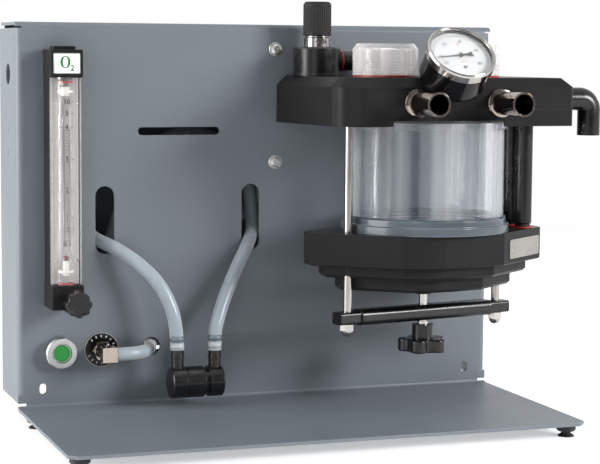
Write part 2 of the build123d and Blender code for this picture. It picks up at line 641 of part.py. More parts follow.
# ---------------------------------------------------------------- breathing head
def head_outline():
    """Plan of the head: straight back on the panel, left side opening outwards, rounded front corner."""
    points = [(HEAD_LEFT, 0), (25.5, -117), (31, -130), (47, HEAD_FRONT), (HEAD_RIGHT, HEAD_FRONT),
              (HEAD_RIGHT, 0)]
    face = make_face(Polyline(*points, close=True))
    corners = face.vertices().sort_by_distance(Vector(31, -130, 0))[:3]
    return fillet(corners, 16)


def front_corner_cut():
    """Cutter that breaks the square right front corner of the head."""
    middle = (HEAD_BOTTOM + HEAD_TOP) / 2
    return Pos(HEAD_RIGHT, HEAD_FRONT, middle) * Rot(0, 0, 45) * Box(2.8, 2.8, 60)


def rod_spots():
    angle = math.radians(ROD_ANGLE)
    dx = ROD_SPREAD * math.cos(angle)
    dy = ROD_SPREAD * math.sin(angle)
    return ((AXIS_X - dx, AXIS_Y - dy), (AXIS_X + dx, AXIS_Y + dy))


def shared_bores():
    """Bores that cross the seam between the two blocks of the head."""
    bores = rod_x(ELBOW_Y, ELBOW_Z, HEAD_RIGHT - 18, HEAD_RIGHT + 1, ELBOW_R + 0.05)
    bores += rod_y(HEAD_GAS_X, HEAD_GAS_Z, -14, 1, 5.85)
    for x in PORT_X:
        bores += rod_y(x, PORT_Z, HEAD_FRONT - 1, HEAD_FRONT + 12, PORT_R)
        bores += rod_y(x, PORT_Z, HEAD_FRONT - 1, HEAD_FRONT + 26, 9.0)
    return bores


def head_lower_block():
    """Holds the canister socket, the tie rods and the two transfer tubes."""
    body = Pos(0, 0, HEAD_BOTTOM) * extrude(head_outline(), HEAD_SEAM - HEAD_BOTTOM)
    body -= front_corner_cut()
    body -= rod_z(AXIS_X, AXIS_Y, HEAD_BOTTOM - 1, SOCKET_TOP + 1.4, SOCKET_R)
    body -= rod_z(AXIS_X, AXIS_Y, SOCKET_TOP, HEAD_SEAM + 1, 44)
    for x, y in rod_spots():
        body -= rod_z(x, y, HEAD_BOTTOM - 1, HEAD_SEAM + 1, ROD_R)
    body -= shared_bores()
    for x, y in TUBE_SPOTS:
        body -= rod_z(x, y, HEAD_BOTTOM - 1, HEAD_BOTTOM + 8, TRANSFER_R)
        body -= rod_z(x, y, HEAD_BOTTOM - 1, HEAD_SEAM + 1, 6.2)
    return body


def head_upper_block():
    """Holds the two valve chambers, the ports, the relief valve and the gauge."""
    body = Pos(0, 0, HEAD_SEAM) * extrude(head_outline(), HEAD_TOP - HEAD_SEAM)
    rim = [e for e in body.edges().group_by(Axis.Z)[-1] if e.center().Y < -1]
    body = chamfer(rim, HEAD_CHAMFER) - front_corner_cut()
    for x, port_x in zip(DOME_X, PORT_X):
        body -= rod_z(x, AXIS_Y, CHAMBER_FLOOR, HEAD_TOP + 1, CHAMBER_R)
        body += rod_z(x, AXIS_Y, CHAMBER_FLOOR - 0.5, CHAMBER_FLOOR + 10, SEAT_R)
        body -= rod_z(x, AXIS_Y, HEAD_SEAM - 1, CHAMBER_FLOOR + 11, SEAT_R - 3)
        body -= rod_y(port_x, PORT_Z + 8.5, HEAD_FRONT + 20, AXIS_Y - SEAT_R - 1, 4.0)
    for x, y in rod_spots():
        body -= rod_z(x, y, HEAD_SEAM - 1, HEAD_SEAM + 8, ROD_R)
    for x, y in TUBE_SPOTS:
        body -= rod_z(x, y, HEAD_SEAM - 1, HEAD_SEAM + 10, 6.2)
    body -= shared_bores()
    body -= rod_z(APL_X, APL_Y, HEAD_TOP - 20, HEAD_TOP + 1, 13.0)
    body -= Pos(GAUGE_X, GAUGE_FACE_Y, GAUGE_FACE_Z) * Rot(45, 0, 0) * Pos(0, 0, -56) * Cylinder(3, 36)
    for x, z in HEAD_BOLTS:
        body -= rod_y(x, z, -20, 1, 2.95)
    # Shallow pill-shaped recess of the blanking plug on the left side.
    plug = Rot(0, 0, 90) * SlotOverall(23, 8.5)
    body -= Pos(14.9, -20, 297.5) * Rot(0, -90, 0) * Rot(0, 0, 90) * extrude(plug, 4)
    return body


def breathing_ports():
    """Two 22 mm ports with a double collar at the root."""
    length = HEAD_FRONT - PORT_END
    profile = [(9.5, -12), (PORT_R, -12), (PORT_R, 0), (12.9, 0), (12.9, 1.6), (12.0, 2.1), (12.0, 2.6),
               (12.9, 3.1), (12.9, 4.6), (PORT_R, 5.2), (PORT_R, length), (9.5, length)]
    return [facing_front(x, PORT_Z, HEAD_FRONT) * turned(profile) for x in PORT_X]


def valve_domes():
    """Clear caps over the valves, ribbed round the lower half, with pins that guide the discs."""
    floor = HEAD_TOP + 1.6
    height = DOME_TOP - floor
    points = [(26.3, 0), (DOME_R, 0)]
    ribs = 5
    pitch = 2.6
    for i in range(ribs):
        z = 1.2 + pitch * i
        points += [(DOME_R, z), (DOME_R - 0.6, z + 0.5), (DOME_R - 0.6, z + 1.3), (DOME_R, z + 1.8)]
    points += [(DOME_R, height - 5), (DOME_R - 4, height), (0, height), (0, height - 4), (24.5, height - 4),
               (26.3, height - 6)]
    cap = turned(points)
    for i in range(6):
        angle = math.pi / 3 * i
        x = 19.6 * math.cos(angle)
        y = 19.6 * math.sin(angle)
        cap += rod_z(x, y, -7.5, height - 3, 1.4)
    cap += rod_z(0, 0, PIN_LOW - floor, height - 3, 2.0)
    return [Pos(x, AXIS_Y, floor) * cap for x in DOME_X]


PIN_LOW = CHAMBER_FLOOR + 10 + DISC_T + DISC_LIFT + 0.3


def valve_disc(x):
    return rod_z(x, AXIS_Y, CHAMBER_FLOOR + 10, CHAMBER_FLOOR + 10 + DISC_T, DISC_R)


# ---------------------------------------------------------------- pressure relief valve
APL_SEAT_Z = HEAD_TOP + 1.0


def apl_body():
    """Round housing with a lip at its foot and a chamfered top, threaded into the head."""
    top = APL_TOP - HEAD_TOP
    profile = [(10, -14), (12.9, -14), (12.9, 0), (APL_R + 0.4, 0), (APL_R + 0.4, 1.8), (APL_R, 2.2),
               (APL_R, top - 1.6), (APL_R - 1.6, top), (10.2, top), (10.2, top - 6), (16, top - 6),
               (16, 3), (12.4, 3), (12.4, 1), (10, 1)]
    body = Pos(APL_X, APL_Y, HEAD_TOP) * turned(profile)
    body -= rod_x(APL_Y, APL_PIPE_Z, APL_X, APL_X + APL_R + 5, 9.1)
    return body


def apl_ring():
    low = APL_TOP - HEAD_TOP
    high = APL_RING_TOP - HEAD_TOP
    profile = [(5.2, low - 5.9), (10.1, low - 5.9), (10.1, low), (12.6, low), (12.6, high - 1.8), (11.6, high - 1),
               (11.6, high), (5.2, high)]
    ring = Pos(APL_X, APL_Y, HEAD_TOP) * turned(profile)
    for i in range(3):
        angle = math.radians(250 + 40 * i)
        hole = Pos(APL_X, APL_Y, APL_TOP + 4.6) * Rot(0, 0, math.degrees(angle)) * Rot(0, 90, 0)
        ring -= hole * Pos(0, 0, 11.4) * Cylinder(1.3, 3)
    return ring


def apl_knob():
    """Turned knob with a fluted grip band between two plain rims."""
    low = APL_RING_TOP + 0.4
    height = APL_KNOB_TOP - low
    profile = [(0, 0), (12.8, 0), (APL_KNOB_R, 0.8), (APL_KNOB_R, height - 2.4), (APL_KNOB_R - 2.0, height),
               (0, height)]
    knob = turned(profile)
    flutes = 36
    for i in range(flutes):
        angle = 2 * math.pi * i / flutes
        knob -= Pos(13.9 * math.cos(angle), 13.9 * math.sin(angle), height / 2 - 0.8) * Cylinder(0.85, height - 8)
    knob = Pos(APL_X, APL_Y, low) * knob
    knob += rod_z(APL_X, APL_Y, APL_RING_TOP - 24, low + 1, 5.1)
    return knob


CUP_TOP = APL_TOP - 6.4
CUP_H = 5.0


def apl_spring_cup():
    """Threaded cup on the knob's stem that loads the spring."""
    cup = rod_z(APL_X, APL_Y, CUP_TOP - CUP_H, CUP_TOP, 8.6)
    cup -= rod_z(APL_X, APL_Y, CUP_TOP - CUP_H - 1, CUP_TOP - 2, 7.2)
    cup -= rod_z(APL_X, APL_Y, CUP_TOP - 3, CUP_TOP + 1, 5.15)
    return cup


def apl_disc():
    disc = rod_z(APL_X, APL_Y, HEAD_TOP + 3.0, HEAD_TOP + 4.2, 13.8)
    disc += rod_z(APL_X, APL_Y, HEAD_TOP + 4.2, HEAD_TOP + 6.0, 3.0)
    return disc


def apl_spring():
    low = HEAD_TOP + 4.2
    return Pos(APL_X, APL_Y, 0) * helix_spring(6.2, 0.5, low, CUP_TOP - 2.0, 5)


def scavenge_outlet():
    """Pipe for waste gas, from the side of the relief valve to a rear-facing end behind the dome."""
    pipe = rod_x(APL_Y, APL_PIPE_Z, APL_X + 17, APL_X + 62, 9.1)
    pipe += rod_x(APL_Y, APL_PIPE_Z, APL_X + APL_R + 3.2, APL_X + APL_R + 6.2, 9.5)
    pipe -= rod_x(APL_Y, APL_PIPE_Z, APL_X + 16, APL_X + 63, 7.3)
    return pipe


def red_seals():
    """Red rings: flowmeter tube ends, waste gas pipe, transfer tubes and flat seals under the domes."""
    seal = turned([(6.0, -0.8), (7.35, -0.8), (7.35, 0.8), (6.0, 0.8)])
    solids = [Pos(FLOW_X, TUBE_Y, z) * seal for z in (FLOW_BLOCK_TOP + 1.6, FLOW_CAP_BOTTOM - 4.4)]
    pipe_seal = turned([(9.1, 0), (10.0, 0), (10.0, 1.4), (9.1, 1.4)])
    solids.append(Pos(APL_X + APL_R + 0.6, APL_Y, APL_PIPE_Z) * Rot(0, 90, 0) * pipe_seal)
    foot_seal = turned([(7.0, 0), (9.2, 0), (9.2, 1.4), (7.0, 1.4)])
    for x, y in TUBE_SPOTS:
        solids.append(Pos(x, y, BASE_TOP + 0.3) * foot_seal)
    dome_seal = turned([(25.2, 0), (30.0, 0), (30.0, 1.6), (25.2, 1.6)])
    solids += [Pos(x, AXIS_Y, HEAD_TOP) * dome_seal for x in DOME_X]
    return solids


# ---------------------------------------------------------------- pressure gauge
def on_gauge(shape):
    """Places a shape whose own Z = 0 is the glass side of the gauge."""
    return Pos(GAUGE_X, GAUGE_FACE_Y, GAUGE_FACE_Z) * Rot(45, 0, 0) * shape


def gauge_case():
    """Black can with a rounded back edge and the stem that screws into the head."""
    can = Pos(0, 0, -GAUGE_DEPTH) * Cylinder(31.2, GAUGE_DEPTH - 4, align=(Align.CENTER, Align.CENTER, Align.MIN))
    can = fillet(can.edges().filter_by(GeomType.CIRCLE).group_by(Axis.Z)[0], 6)
    can -= Pos(0, 0, -GAUGE_DEPTH + 2) * Cylinder(29.4, GAUGE_DEPTH, align=(Align.CENTER, Align.CENTER, Align.MIN))
    can += Pos(0, 0, -GAUGE_DEPTH - GAUGE_STANDOFF) * hexagon(14, GAUGE_STANDOFF + 1)
    can += Pos(0, 0, -GAUGE_DEPTH - 15) * Cylinder(2.95, 13, align=(Align.CENTER, Align.CENTER, Align.MIN))
    boss = GAUGE_DEPTH + DIAL_Z - 2.5
    can += Pos(0, 0, -GAUGE_DEPTH + 1.5) * Cylinder(7, boss, align=(Align.CENTER, Align.CENTER, Align.MIN))
    can -= Pos(0, 0, DIAL_Z) * Cylinder(1.3, 8)
    return on_gauge(can)


def gauge_bezel():
    profile = [(31.3, -9), (32.0, -9), (GAUGE_R, -8), (GAUGE_R, -1.6), (31.6, -0.2), (30.9, -0.2), (30.6, -0.9),
               (30.2, -0.9), (29.4, -0.3), (29.0, -0.8), (29.0, -1.2), (31.3, -3.6)]
    return on_gauge(turned(profile))


def gauge_glass():
    return on_gauge(Pos(0, 0, GLASS_Z) * Cylinder(29.2, 1.2, align=(Align.CENTER, Align.CENTER, Align.MIN)))


def gauge_dial():
    dial = Pos(0, 0, DIAL_Z - 1) * Cylinder(29.2, 1.0, align=(Align.CENTER, Align.CENTER, Align.MIN))
    return on_gauge(dial - Pos(0, 0, DIAL_Z) * Cylinder(1.3, 4))


POINTER_ANGLE = 187.0
GLASS_Z = -2.6
DIAL_Z = -6.0


def gauge_pointer():
    """Thin needle with a flared tail, on a spindle through the dial."""
    height = DIAL_Z + 1.4
    outline = Polyline((24, 0.25), (24, -0.25), (0, -0.8), (-4, -0.7), (-12.5, -2.5), (-11.8, 0), (-12.5, 2.5),
                       (-4, 0.7), (0, 0.8), close=True)
    blade = Pos(0, 0, height) * extrude(make_face(outline), 0.5)
    blade += Pos(0, 0, height) * Cylinder(2.3, 1.4, align=(Align.CENTER, Align.CENTER, Align.MIN))
    blade += Pos(0, 0, DIAL_Z - 3.8) * Cylinder(1.25, 5.5, align=(Align.CENTER, Align.CENTER, Align.MIN))
    return on_gauge(Rot(0, 0, POINTER_ANGLE) * blade)


# ---------------------------------------------------------------- bag elbow
def bag_elbow():
    """Right-angled 22 mm pipe that turns in the side of the head."""
    bend = 7.0
    path = Polyline((HEAD_RIGHT - 17, ELBOW_Y, ELBOW_Z), (ELBOW_X, ELBOW_Y, ELBOW_Z),
                    (ELBOW_X, ELBOW_Y, ELBOW_BOTTOM))
    inside = rod_x(ELBOW_Y, ELBOW_Z, HEAD_RIGHT - 17, ELBOW_X, ELBOW_R)
    outside = rod_z(ELBOW_X, ELBOW_Y, ELBOW_BOTTOM, ELBOW_Z, ELBOW_R)
    corner = revolve(Pos(ELBOW_X - ELBOW_R, ELBOW_Y, ELBOW_Z) * Rot(0, 90, 0) * Circle(ELBOW_R),
                     Axis((ELBOW_X - ELBOW_R, 0, ELBOW_Z - ELBOW_R), (0, 1, 0)), 90)
    trim = block(ELBOW_X - ELBOW_R, ELBOW_X + 20, ELBOW_Y - 20, ELBOW_Y + 20, ELBOW_Z - ELBOW_R, ELBOW_Z + 20)
    body = (inside - trim) + (outside - trim) + corner
    body -= rod_x(ELBOW_Y, ELBOW_Z, HEAD_RIGHT - 18, ELBOW_X, ELBOW_R - 2)
    body -= rod_z(ELBOW_X, ELBOW_Y, ELBOW_BOTTOM - 1, ELBOW_Z, ELBOW_R - 2)
    return body


# ---------------------------------------------------------------- canister
def canister_cylinder():
    profile = [(CANISTER_R - CANISTER_WALL, RING_1[1] - 6), (CANISTER_R, RING_1[1] - 6), (CANISTER_R, RIM_BOTTOM - 2),
               (RIM_R, RIM_BOTTOM), (RIM_R, RIM_TOP), (CANISTER_R - CANISTER_WALL, RIM_TOP)]
    return Pos(AXIS_X, AXIS_Y, 0) * turned(profile)


def canister_base_ring():
    """Stepped moulded foot with a perforated floor that holds up the absorbent."""
    foot = BASE_TOP
    floor = RING_1[1] - 9
    inner = CANISTER_R - CANISTER_WALL
    profile = [(0, floor - 2.4), (inner - 6, floor - 2.4), (inner - 6, foot), (RING_2[0], foot), (RING_2[0], RING_2[1] - 1),
               (RING_2[0] - 1, RING_2[1]), (RING_1[0], RING_2[1]), (RING_1[0], RING_1[1] - 1.5), (CANISTER_R + 0.9, RING_1[1]),
               (CANISTER_R, RING_1[1]), (CANISTER_R, RING_1[1] - 6), (inner, RING_1[1] - 6), (inner, floor), (0, floor)]
    ring = turned(profile)
    rows = 5
    for row in range(rows):
        radius = 11.0 * (row + 1)
        holes = 6 * (row + 1)
        for i in range(holes):
            angle = 2 * math.pi * i / holes
            ring -= Pos(radius * math.cos(angle), radius * math.sin(angle), floor - 1) * Cylinder(2.4, 5)
    return Pos(AXIS_X, AXIS_Y, 0) * ring


def canister_gasket():
    ring = turned([(CANISTER_R - 5, RIM_TOP), (RIM_R + 0.2, RIM_TOP), (RIM_R + 0.2, SOCKET_TOP + 1.4),
                   (CANISTER_R - 5, SOCKET_TOP + 1.4)])
    return Pos(AXIS_X, AXIS_Y, 0) * ring


# ---------------------------------------------------------------- absorber base
def base_outline():
    """Long plan with a bowed front and narrow ends."""
    x, y = BASE_SHOULDER
    lines = Polyline(
        (6 - x, y - 6), (-BASE_HALF, -BASE_END), (-BASE_HALF, BASE_END), (-x, 55), (x, 55),
        (BASE_HALF, BASE_END), (BASE_HALF, -BASE_END), (x, y), (19, -68.5), (-9, -BASE_FRONT))
    bow = ThreePointArc((-9, -BASE_FRONT), (-30.5, -71), (6 - x, y - 6))
    return make_face(lines + bow)


def absorber_base():
    """Three stepped layers, hollow under the canister, drilled for the rods and transfer tubes."""
    plan = base_outline()
    levels = (BASE_TOP, BASE_BOTTOM, STEP_1_BOTTOM, STEP_2_BOTTOM)
    body = None
    for size, high, low in zip(STEP_SCALES, levels, levels[1:]):
        layer = Pos(0, 0, low) * extrude(scale(plan, by=(size, size, 1)), high - low)
        layer = chamfer(layer.edges().group_by(Axis.Z)[0], 1.0 if body is None else 2.6)
        body = layer if body is None else body + layer
    body = Pos(AXIS_X, AXIS_Y, 0) * body
    body -= rod_z(AXIS_X, AXIS_Y, BASE_TOP - 34, BASE_TOP + 1, 58)
    for x, y in rod_spots():
        body -= rod_z(x, y, STEP_2_BOTTOM - 1, BASE_TOP + 1, ROD_R + 0.5)
    for x, y in TUBE_SPOTS:
        body -= rod_z(x, y, BASE_TOP - 16, BASE_TOP + 1, 6.7)
    body -= rod_x(TUBE_SPOTS[0][1] + 8, BASE_TOP - 10, AXIS_X + 50, TUBE_SPOTS[0][0], 4.5)
    body -= rod_z(AXIS_X, AXIS_Y, STEP_2_BOTTOM - 1, STEP_2_BOTTOM + 4, 11.5)
    return body


def nameplate():
    """Blank metal plate on the right front facet."""
    near_x, near_y = BASE_SHOULDER
    heading = math.degrees(math.atan2(-BASE_END - near_y, BASE_HALF - near_x))
    along = 43.2
    x = AXIS_X + near_x + along * math.cos(math.radians(heading))
    y = AXIS_Y + near_y + along * math.sin(math.radians(heading))
    plate = extrude(RectangleRounded(64.5, 18, 2.2), 0.8)
    return Pos(x, y, 159.1) * Rot(0, 0, heading) * Rot(90, 0, 0) * plate


def transfer_tubes():
    """Gas tubes fixed in the head; their lower ends plug into the base."""
    profile = [(5.2, BASE_TOP - 7), (6.4, BASE_TOP - 7), (6.4, BASE_TOP + 1.7), (7.4, BASE_TOP + 1.7),
               (7.4, BASE_TOP + 4.2), (TRANSFER_R, BASE_TOP + 5.4), (TRANSFER_R, HEAD_BOTTOM + 8), (5.2, HEAD_BOTTOM + 8)]
    return [Pos(x, y, 0) * turned(profile) for x, y in TUBE_SPOTS]


# ---------------------------------------------------------------- clamp
NUT_TOP = BAR_Z - BAR_END_H / 2


def tie_rods():
    return [rod_z(x, y, NUT_TOP - 7, HEAD_SEAM + 8, ROD_R) for x, y in rod_spots()]


def acorn_nuts():
    nut = Pos(0, 0, -6.2) * hexagon(12.6, 6.2)
    dome = Pos(0, 0, -6.2) * Sphere(5.6)
    nut += dome - block(-9, 9, -9, 9, -6.2, 9)
    nut -= Pos(0, 0, -7) * Cylinder(ROD_R, 8, align=(Align.CENTER, Align.CENTER, Align.MIN))
    return [Pos(x, y, NUT_TOP) * nut for x, y in rod_spots()]


def clamp_bar():
    """Thick rounded bar with flat, thinner ends that the rods pass through."""
    half = ROD_SPREAD + 11.5
    middle = Box(2 * ROD_SPREAD - 22, BAR_W, BAR_H)
    middle = fillet(middle.edges().filter_by(Axis.X), 5.5)
    ends = fillet(Box(2 * half, BAR_W - 4, BAR_END_H).edges().filter_by(Axis.X), 2.5)
    bar = middle + ends
    for side in (-1, 1):
        bar -= Pos(side * ROD_SPREAD, 0, 0) * Cylinder(ROD_R, 30)
    bar -= Cylinder(SCREW_R + 0.05, 30)
    return Pos(AXIS_X, AXIS_Y, BAR_Z) * Rot(0, 0, ROD_ANGLE) * bar


KNOB_TOP = 84.4
KNOB_BOTTOM = 58.7
PAD_TOP = STEP_2_BOTTOM + 4


def clamp_screw():
    """Clamp screw with the collar that rides above the knob."""
    profile = [(0, KNOB_TOP - 14), (SCREW_R, KNOB_TOP - 14), (SCREW_R, KNOB_TOP), (5.2, KNOB_TOP), (5.2, KNOB_TOP + 3.2),
               (SCREW_R, KNOB_TOP + 3.2), (SCREW_R, PAD_TOP - 5.2), (0, PAD_TOP - 5.2)]
    return Pos(AXIS_X, AXIS_Y, 0) * turned(profile)


def clamp_pad():
    """Swivelling foot that presses on the underside of the base."""
    profile = [(SCREW_R + 0.05, PAD_TOP - 11), (8.5, PAD_TOP - 11), (11.0, PAD_TOP - 4), (11.0, PAD_TOP), (0, PAD_TOP),
               (0, PAD_TOP - 5), (SCREW_R + 0.05, PAD_TOP - 5)]
    return Pos(AXIS_X, AXIS_Y, 0) * turned(profile)


def clamp_knob():
    """Neck and five-lobed head."""
    head_h = 12.3
    lobes = 5
    plan = Circle(17.5)
    for i in range(lobes):
        plan += Rot(0, 0, 360 * i / lobes + 17) * Pos(15.6, 0) * Circle(8.0)
    plan = fillet(plan.vertices(), 3.0)
    head = extrude(plan, head_h)
    head = fillet(head.edges().group_by(Axis.Z)[0], 1.6)
    head = fillet(head.edges().group_by(Axis.Z)[-1], 1.6)
    knob = Pos(0, 0, KNOB_BOTTOM) * head
    knob += rod_z(0, 0, KNOB_BOTTOM + head_h - 1, KNOB_TOP, 10.2)
    knob -= rod_z(0, 0, KNOB_TOP - 14, KNOB_TOP + 1, SCREW_R)
    return Pos(AXIS_X, AXIS_Y, 0) * knob


# ---------------------------------------------------------------- export
NODES = {
    "chassis_panel": chassis_panel,
    "rubber_feet": rubber_feet,
    "rear_cover": rear_cover,
    "rear_stiffener": rear_stiffener,
    "panel_fasteners": panel_fasteners,
    "flowmeter_body": flowmeter_body,
    "flowmeter_housing": flowmeter_housing,
    "flowmeter_tube": flowmeter_tube,
    "flow_float": flow_float,
    "float_stops": float_stops,
    "flowmeter_label": flowmeter_label,
    "flowmeter_knob": flowmeter_knob,
    "flush_bezel": flush_bezel,
    "flush_button": flush_button,
    "flush_valve_body": flush_valve_body,
    "flush_spring": flush_spring,
    "outlet_label_disc": outlet_label_disc,
    "outlet_bulkhead": outlet_bulkhead,
    "outlet_elbow": outlet_elbow,
    "fresh_gas_hose": lambda: hose("fresh_gas_hose", FRESH_GAS_ROUTE, HOSE_OD),
    "left_hose": lambda: hose("left_hose", LEFT_ROUTE, HOSE_OD),
    "right_hose": lambda: hose("right_hose", RIGHT_ROUTE, HOSE_OD),
    "left_taper_elbow": left_taper_elbow,
    "right_taper_elbow": right_taper_elbow,
    "rear_barb_elbows": rear_barb_elbows,
    "oxygen_inlet": oxygen_inlet,
    "gas_manifold": gas_manifold,
    "oxygen_tubes": oxygen_tubes,
    "head_lower_block": head_lower_block,
    "head_upper_block": head_upper_block,
    "breathing_ports": breathing_ports,
    "bag_elbow": bag_elbow,
    "valve_domes": valve_domes,
    "inspiratory_disc": lambda: valve_disc(DOME_X[0]),
    "expiratory_disc": lambda: valve_disc(DOME_X[1]),
    "apl_body": apl_body,
    "apl_ring": apl_ring,
    "apl_knob": apl_knob,
    "apl_spring_cup": apl_spring_cup,
    "apl_spring": apl_spring,
    "apl_disc": apl_disc,
    "scavenge_outlet": scavenge_outlet,
    "red_seals": red_seals,
    "gauge_case": gauge_case,
    "gauge_bezel": gauge_bezel,
    "gauge_glass": gauge_glass,
    "gauge_dial": gauge_dial,
    "gauge_pointer": gauge_pointer,
    "canister_cylinder": canister_cylinder,
    "canister_base_ring": canister_base_ring,
    "canister_gasket": canister_gasket,
    "absorber_base": absorber_base,
    "nameplate": nameplate,
    "transfer_tubes": transfer_tubes,
    "tie_rods": tie_rods,
    "acorn_nuts": acorn_nuts,
    "clamp_bar": clamp_bar,
    "clamp_screw": clamp_screw,
    "clamp_knob": clamp_knob,
    "clamp_pad": clamp_pad,
}

os.makedirs("parts", exist_ok=True)
for node, make in NODES.items():
    shape = make()
    solids = shape if isinstance(shape, list) else [shape]
    moved = [Pos(-ORIGIN_X, -ORIGIN_Y, -ORIGIN_Z) * piece for part in solids for piece in part.solids()]
    export_step(Compound(children=moved), f"parts/{node}.step")
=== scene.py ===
import math

import bmesh
import bpy
from mathutils import Matrix, Vector


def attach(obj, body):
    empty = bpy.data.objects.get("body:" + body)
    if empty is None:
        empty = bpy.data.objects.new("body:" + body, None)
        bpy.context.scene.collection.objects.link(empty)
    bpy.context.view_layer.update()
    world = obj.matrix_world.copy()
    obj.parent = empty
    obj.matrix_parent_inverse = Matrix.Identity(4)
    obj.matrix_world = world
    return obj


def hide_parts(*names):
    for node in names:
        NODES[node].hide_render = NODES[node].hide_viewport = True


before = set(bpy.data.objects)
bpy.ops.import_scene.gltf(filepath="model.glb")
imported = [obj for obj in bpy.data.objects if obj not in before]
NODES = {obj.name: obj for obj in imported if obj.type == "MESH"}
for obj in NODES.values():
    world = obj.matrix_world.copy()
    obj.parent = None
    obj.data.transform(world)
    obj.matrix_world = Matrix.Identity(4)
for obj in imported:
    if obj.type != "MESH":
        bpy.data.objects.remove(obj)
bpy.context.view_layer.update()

# ------------------------------------------------------------------ shared frame
# Positions below are millimetres in the panel's own frame: X from the panel's middle, Y from its front
# plane, Z from 5 mm under the shelf. The row's origin, on the bench, lies at ORIGIN in that frame.
ORIGIN = Vector((34.9, -70.5, -7.0))
MM = 0.001


def at(x, y, z):
    return (Vector((x, y, z)) - ORIGIN) * MM


# ------------------------------------------------------------------ camera
camera_data = bpy.data.cameras.new("camera")
camera_data.sensor_width = 36.0
camera_data.lens = 110.44
camera_data.clip_start = 0.1
camera_data.clip_end = 100.0
camera = bpy.data.objects.new("camera", camera_data)
right = Vector((0.94270, -0.33356, 0.00725))
up = Vector((0.02520, 0.09286, 0.99536))
back = right.cross(up)
camera.matrix_world = Matrix.Translation(at(-560.6, -1689.8, 339.6)) @ Matrix(
    ((right.x, up.x, back.x), (right.y, up.y, back.y), (right.z, up.z, back.z))).to_4x4()
bpy.context.scene.collection.objects.link(camera)
bpy.context.scene.camera = camera


# ------------------------------------------------------------------ materials
def srgb(code):
    """Display colour written in hex, as linear RGBA."""
    channels = [int(code[i:i + 2], 16) / 255 for i in (1, 3, 5)]
    linear = [c / 12.92 if c <= 0.04045 else ((c + 0.055) / 1.055) ** 2.4 for c in channels]
    return (*linear, 1.0)


class Shade:
    """A Principled material with helpers that add procedural detail."""

    def __init__(self, name, rough=0.5, metal=0.0, **sockets):
        self.material = bpy.data.materials.new(name)
        self.material.use_nodes = True
        self.tree = self.material.node_tree
        self.shader = self.tree.nodes["Principled BSDF"]
        self.shader.inputs["Roughness"].default_value = rough
        self.shader.inputs["Metallic"].default_value = metal
        for key, value in sockets.items():
            self.shader.inputs[key.replace("_", " ")].default_value = value
        self.coords = self.node("ShaderNodeTexCoord").outputs["Object"]

    def node(self, kind, **settings):
        made = self.tree.nodes.new(kind)
        for key, value in settings.items():
            setattr(made, key, value)
        return made

    def link(self, source, target):
        self.tree.links.new(source, target)

    def stretched(self, scale):
        mapping = self.node("ShaderNodeMapping")
        mapping.inputs["Scale"].default_value = scale
        self.link(self.coords, mapping.inputs["Vector"])
        return mapping.outputs["Vector"]

    def noise(self, scale, detail=3.0, rough=0.55, stretch=(1, 1, 1)):
        made = self.node("ShaderNodeTexNoise")
        made.inputs["Scale"].default_value = scale
        made.inputs["Detail"].default_value = detail
        made.inputs["Roughness"].default_value = rough
        self.link(self.stretched(stretch), made.inputs["Vector"])
        return made.outputs["Fac"]

    def ramp(self, factor, low, high, start=0.35, end=0.65):
        made = self.node("ShaderNodeValToRGB")
        made.color_ramp.elements[0].position = start
        made.color_ramp.elements[1].position = end
        made.color_ramp.elements[0].color = low if isinstance(low, tuple) else (low, low, low, 1)
        made.color_ramp.elements[1].color = high if isinstance(high, tuple) else (high, high, high, 1)
        self.link(factor, made.inputs["Fac"])
        return made.outputs["Color"]

    def mix(self, factor, a, b):
        made = self.node("ShaderNodeMix", data_type="RGBA")
        for value, socket in ((factor, made.inputs[0]), (a, made.inputs[6]), (b, made.inputs[7])):
            if isinstance(value, bpy.types.NodeSocket):
                self.link(value, socket)
            else:
                socket.default_value = value
        return made.outputs[2]

    def color(self, source):
        self.link(source, self.shader.inputs["Base Color"])

    def roughness(self, source):
        self.link(source, self.shader.inputs["Roughness"])

    def bump(self, height, distance, strength=0.5, normal=None):
        made = self.node("ShaderNodeBump")
        made.inputs["Strength"].default_value = strength
        made.inputs["Distance"].default_value = distance
        self.link(height, made.inputs["Height"])
        if normal is not None:
            self.link(normal, made.inputs["Normal"])
        self.link(made.outputs["Normal"], self.shader.inputs["Normal"])
        return made

    def rounded_edges(self, radius):
        """Normal that rolls over sharp edges, and a mask that is 1 on them."""
        bevel = self.node("ShaderNodeBevel", samples=6)
        bevel.inputs["Radius"].default_value = radius
        geometry = self.node("ShaderNodeNewGeometry")
        dot = self.node("ShaderNodeVectorMath", operation="DOT_PRODUCT")
        self.link(bevel.outputs["Normal"], dot.inputs[0])
        self.link(geometry.outputs["Normal"], dot.inputs[1])
        mask = self.ramp(dot.outputs["Value"], 1.0, 0.0, 0.80, 0.985)
        return bevel.outputs["Normal"], mask


def two_tone(name, dark, light, rough, metal=0.0, patch=14.0, grain=900.0, grain_depth=0.00003,
             stretch=(1, 1, 1), spread=0.06, edge=0.0, edge_highlight_color=None, **sockets):
    """Body colour drifting between two tones, fine grain in the bump, and softly rounded edges, optionally with
    a painted highlight colour along them.
    """
    shade = Shade(name, rough, metal, **sockets)
    cloud = shade.noise(patch, 4.0, 0.6, stretch)
    base = shade.ramp(cloud, srgb(dark), srgb(light), 0.3, 0.7)
    fine = shade.noise(grain, 2.0, 0.6, stretch)
    smudge = shade.noise(patch * 2.3, 5.0, 0.65)
    gloss = shade.ramp(smudge, max(rough - spread, 0.02), rough + spread, 0.35, 0.7)
    normal = None
    if edge:
        normal, mask = shade.rounded_edges(edge)
        # Painted highlight: the edge mask blends the body colour towards a lighter colour along sharp edges.
        if edge_highlight_color:
            base = shade.mix(mask, base, srgb(edge_highlight_color))
    shade.color(base)
    shade.roughness(gloss)
    shade.bump(fine, grain_depth, 0.6, normal)
    return shade


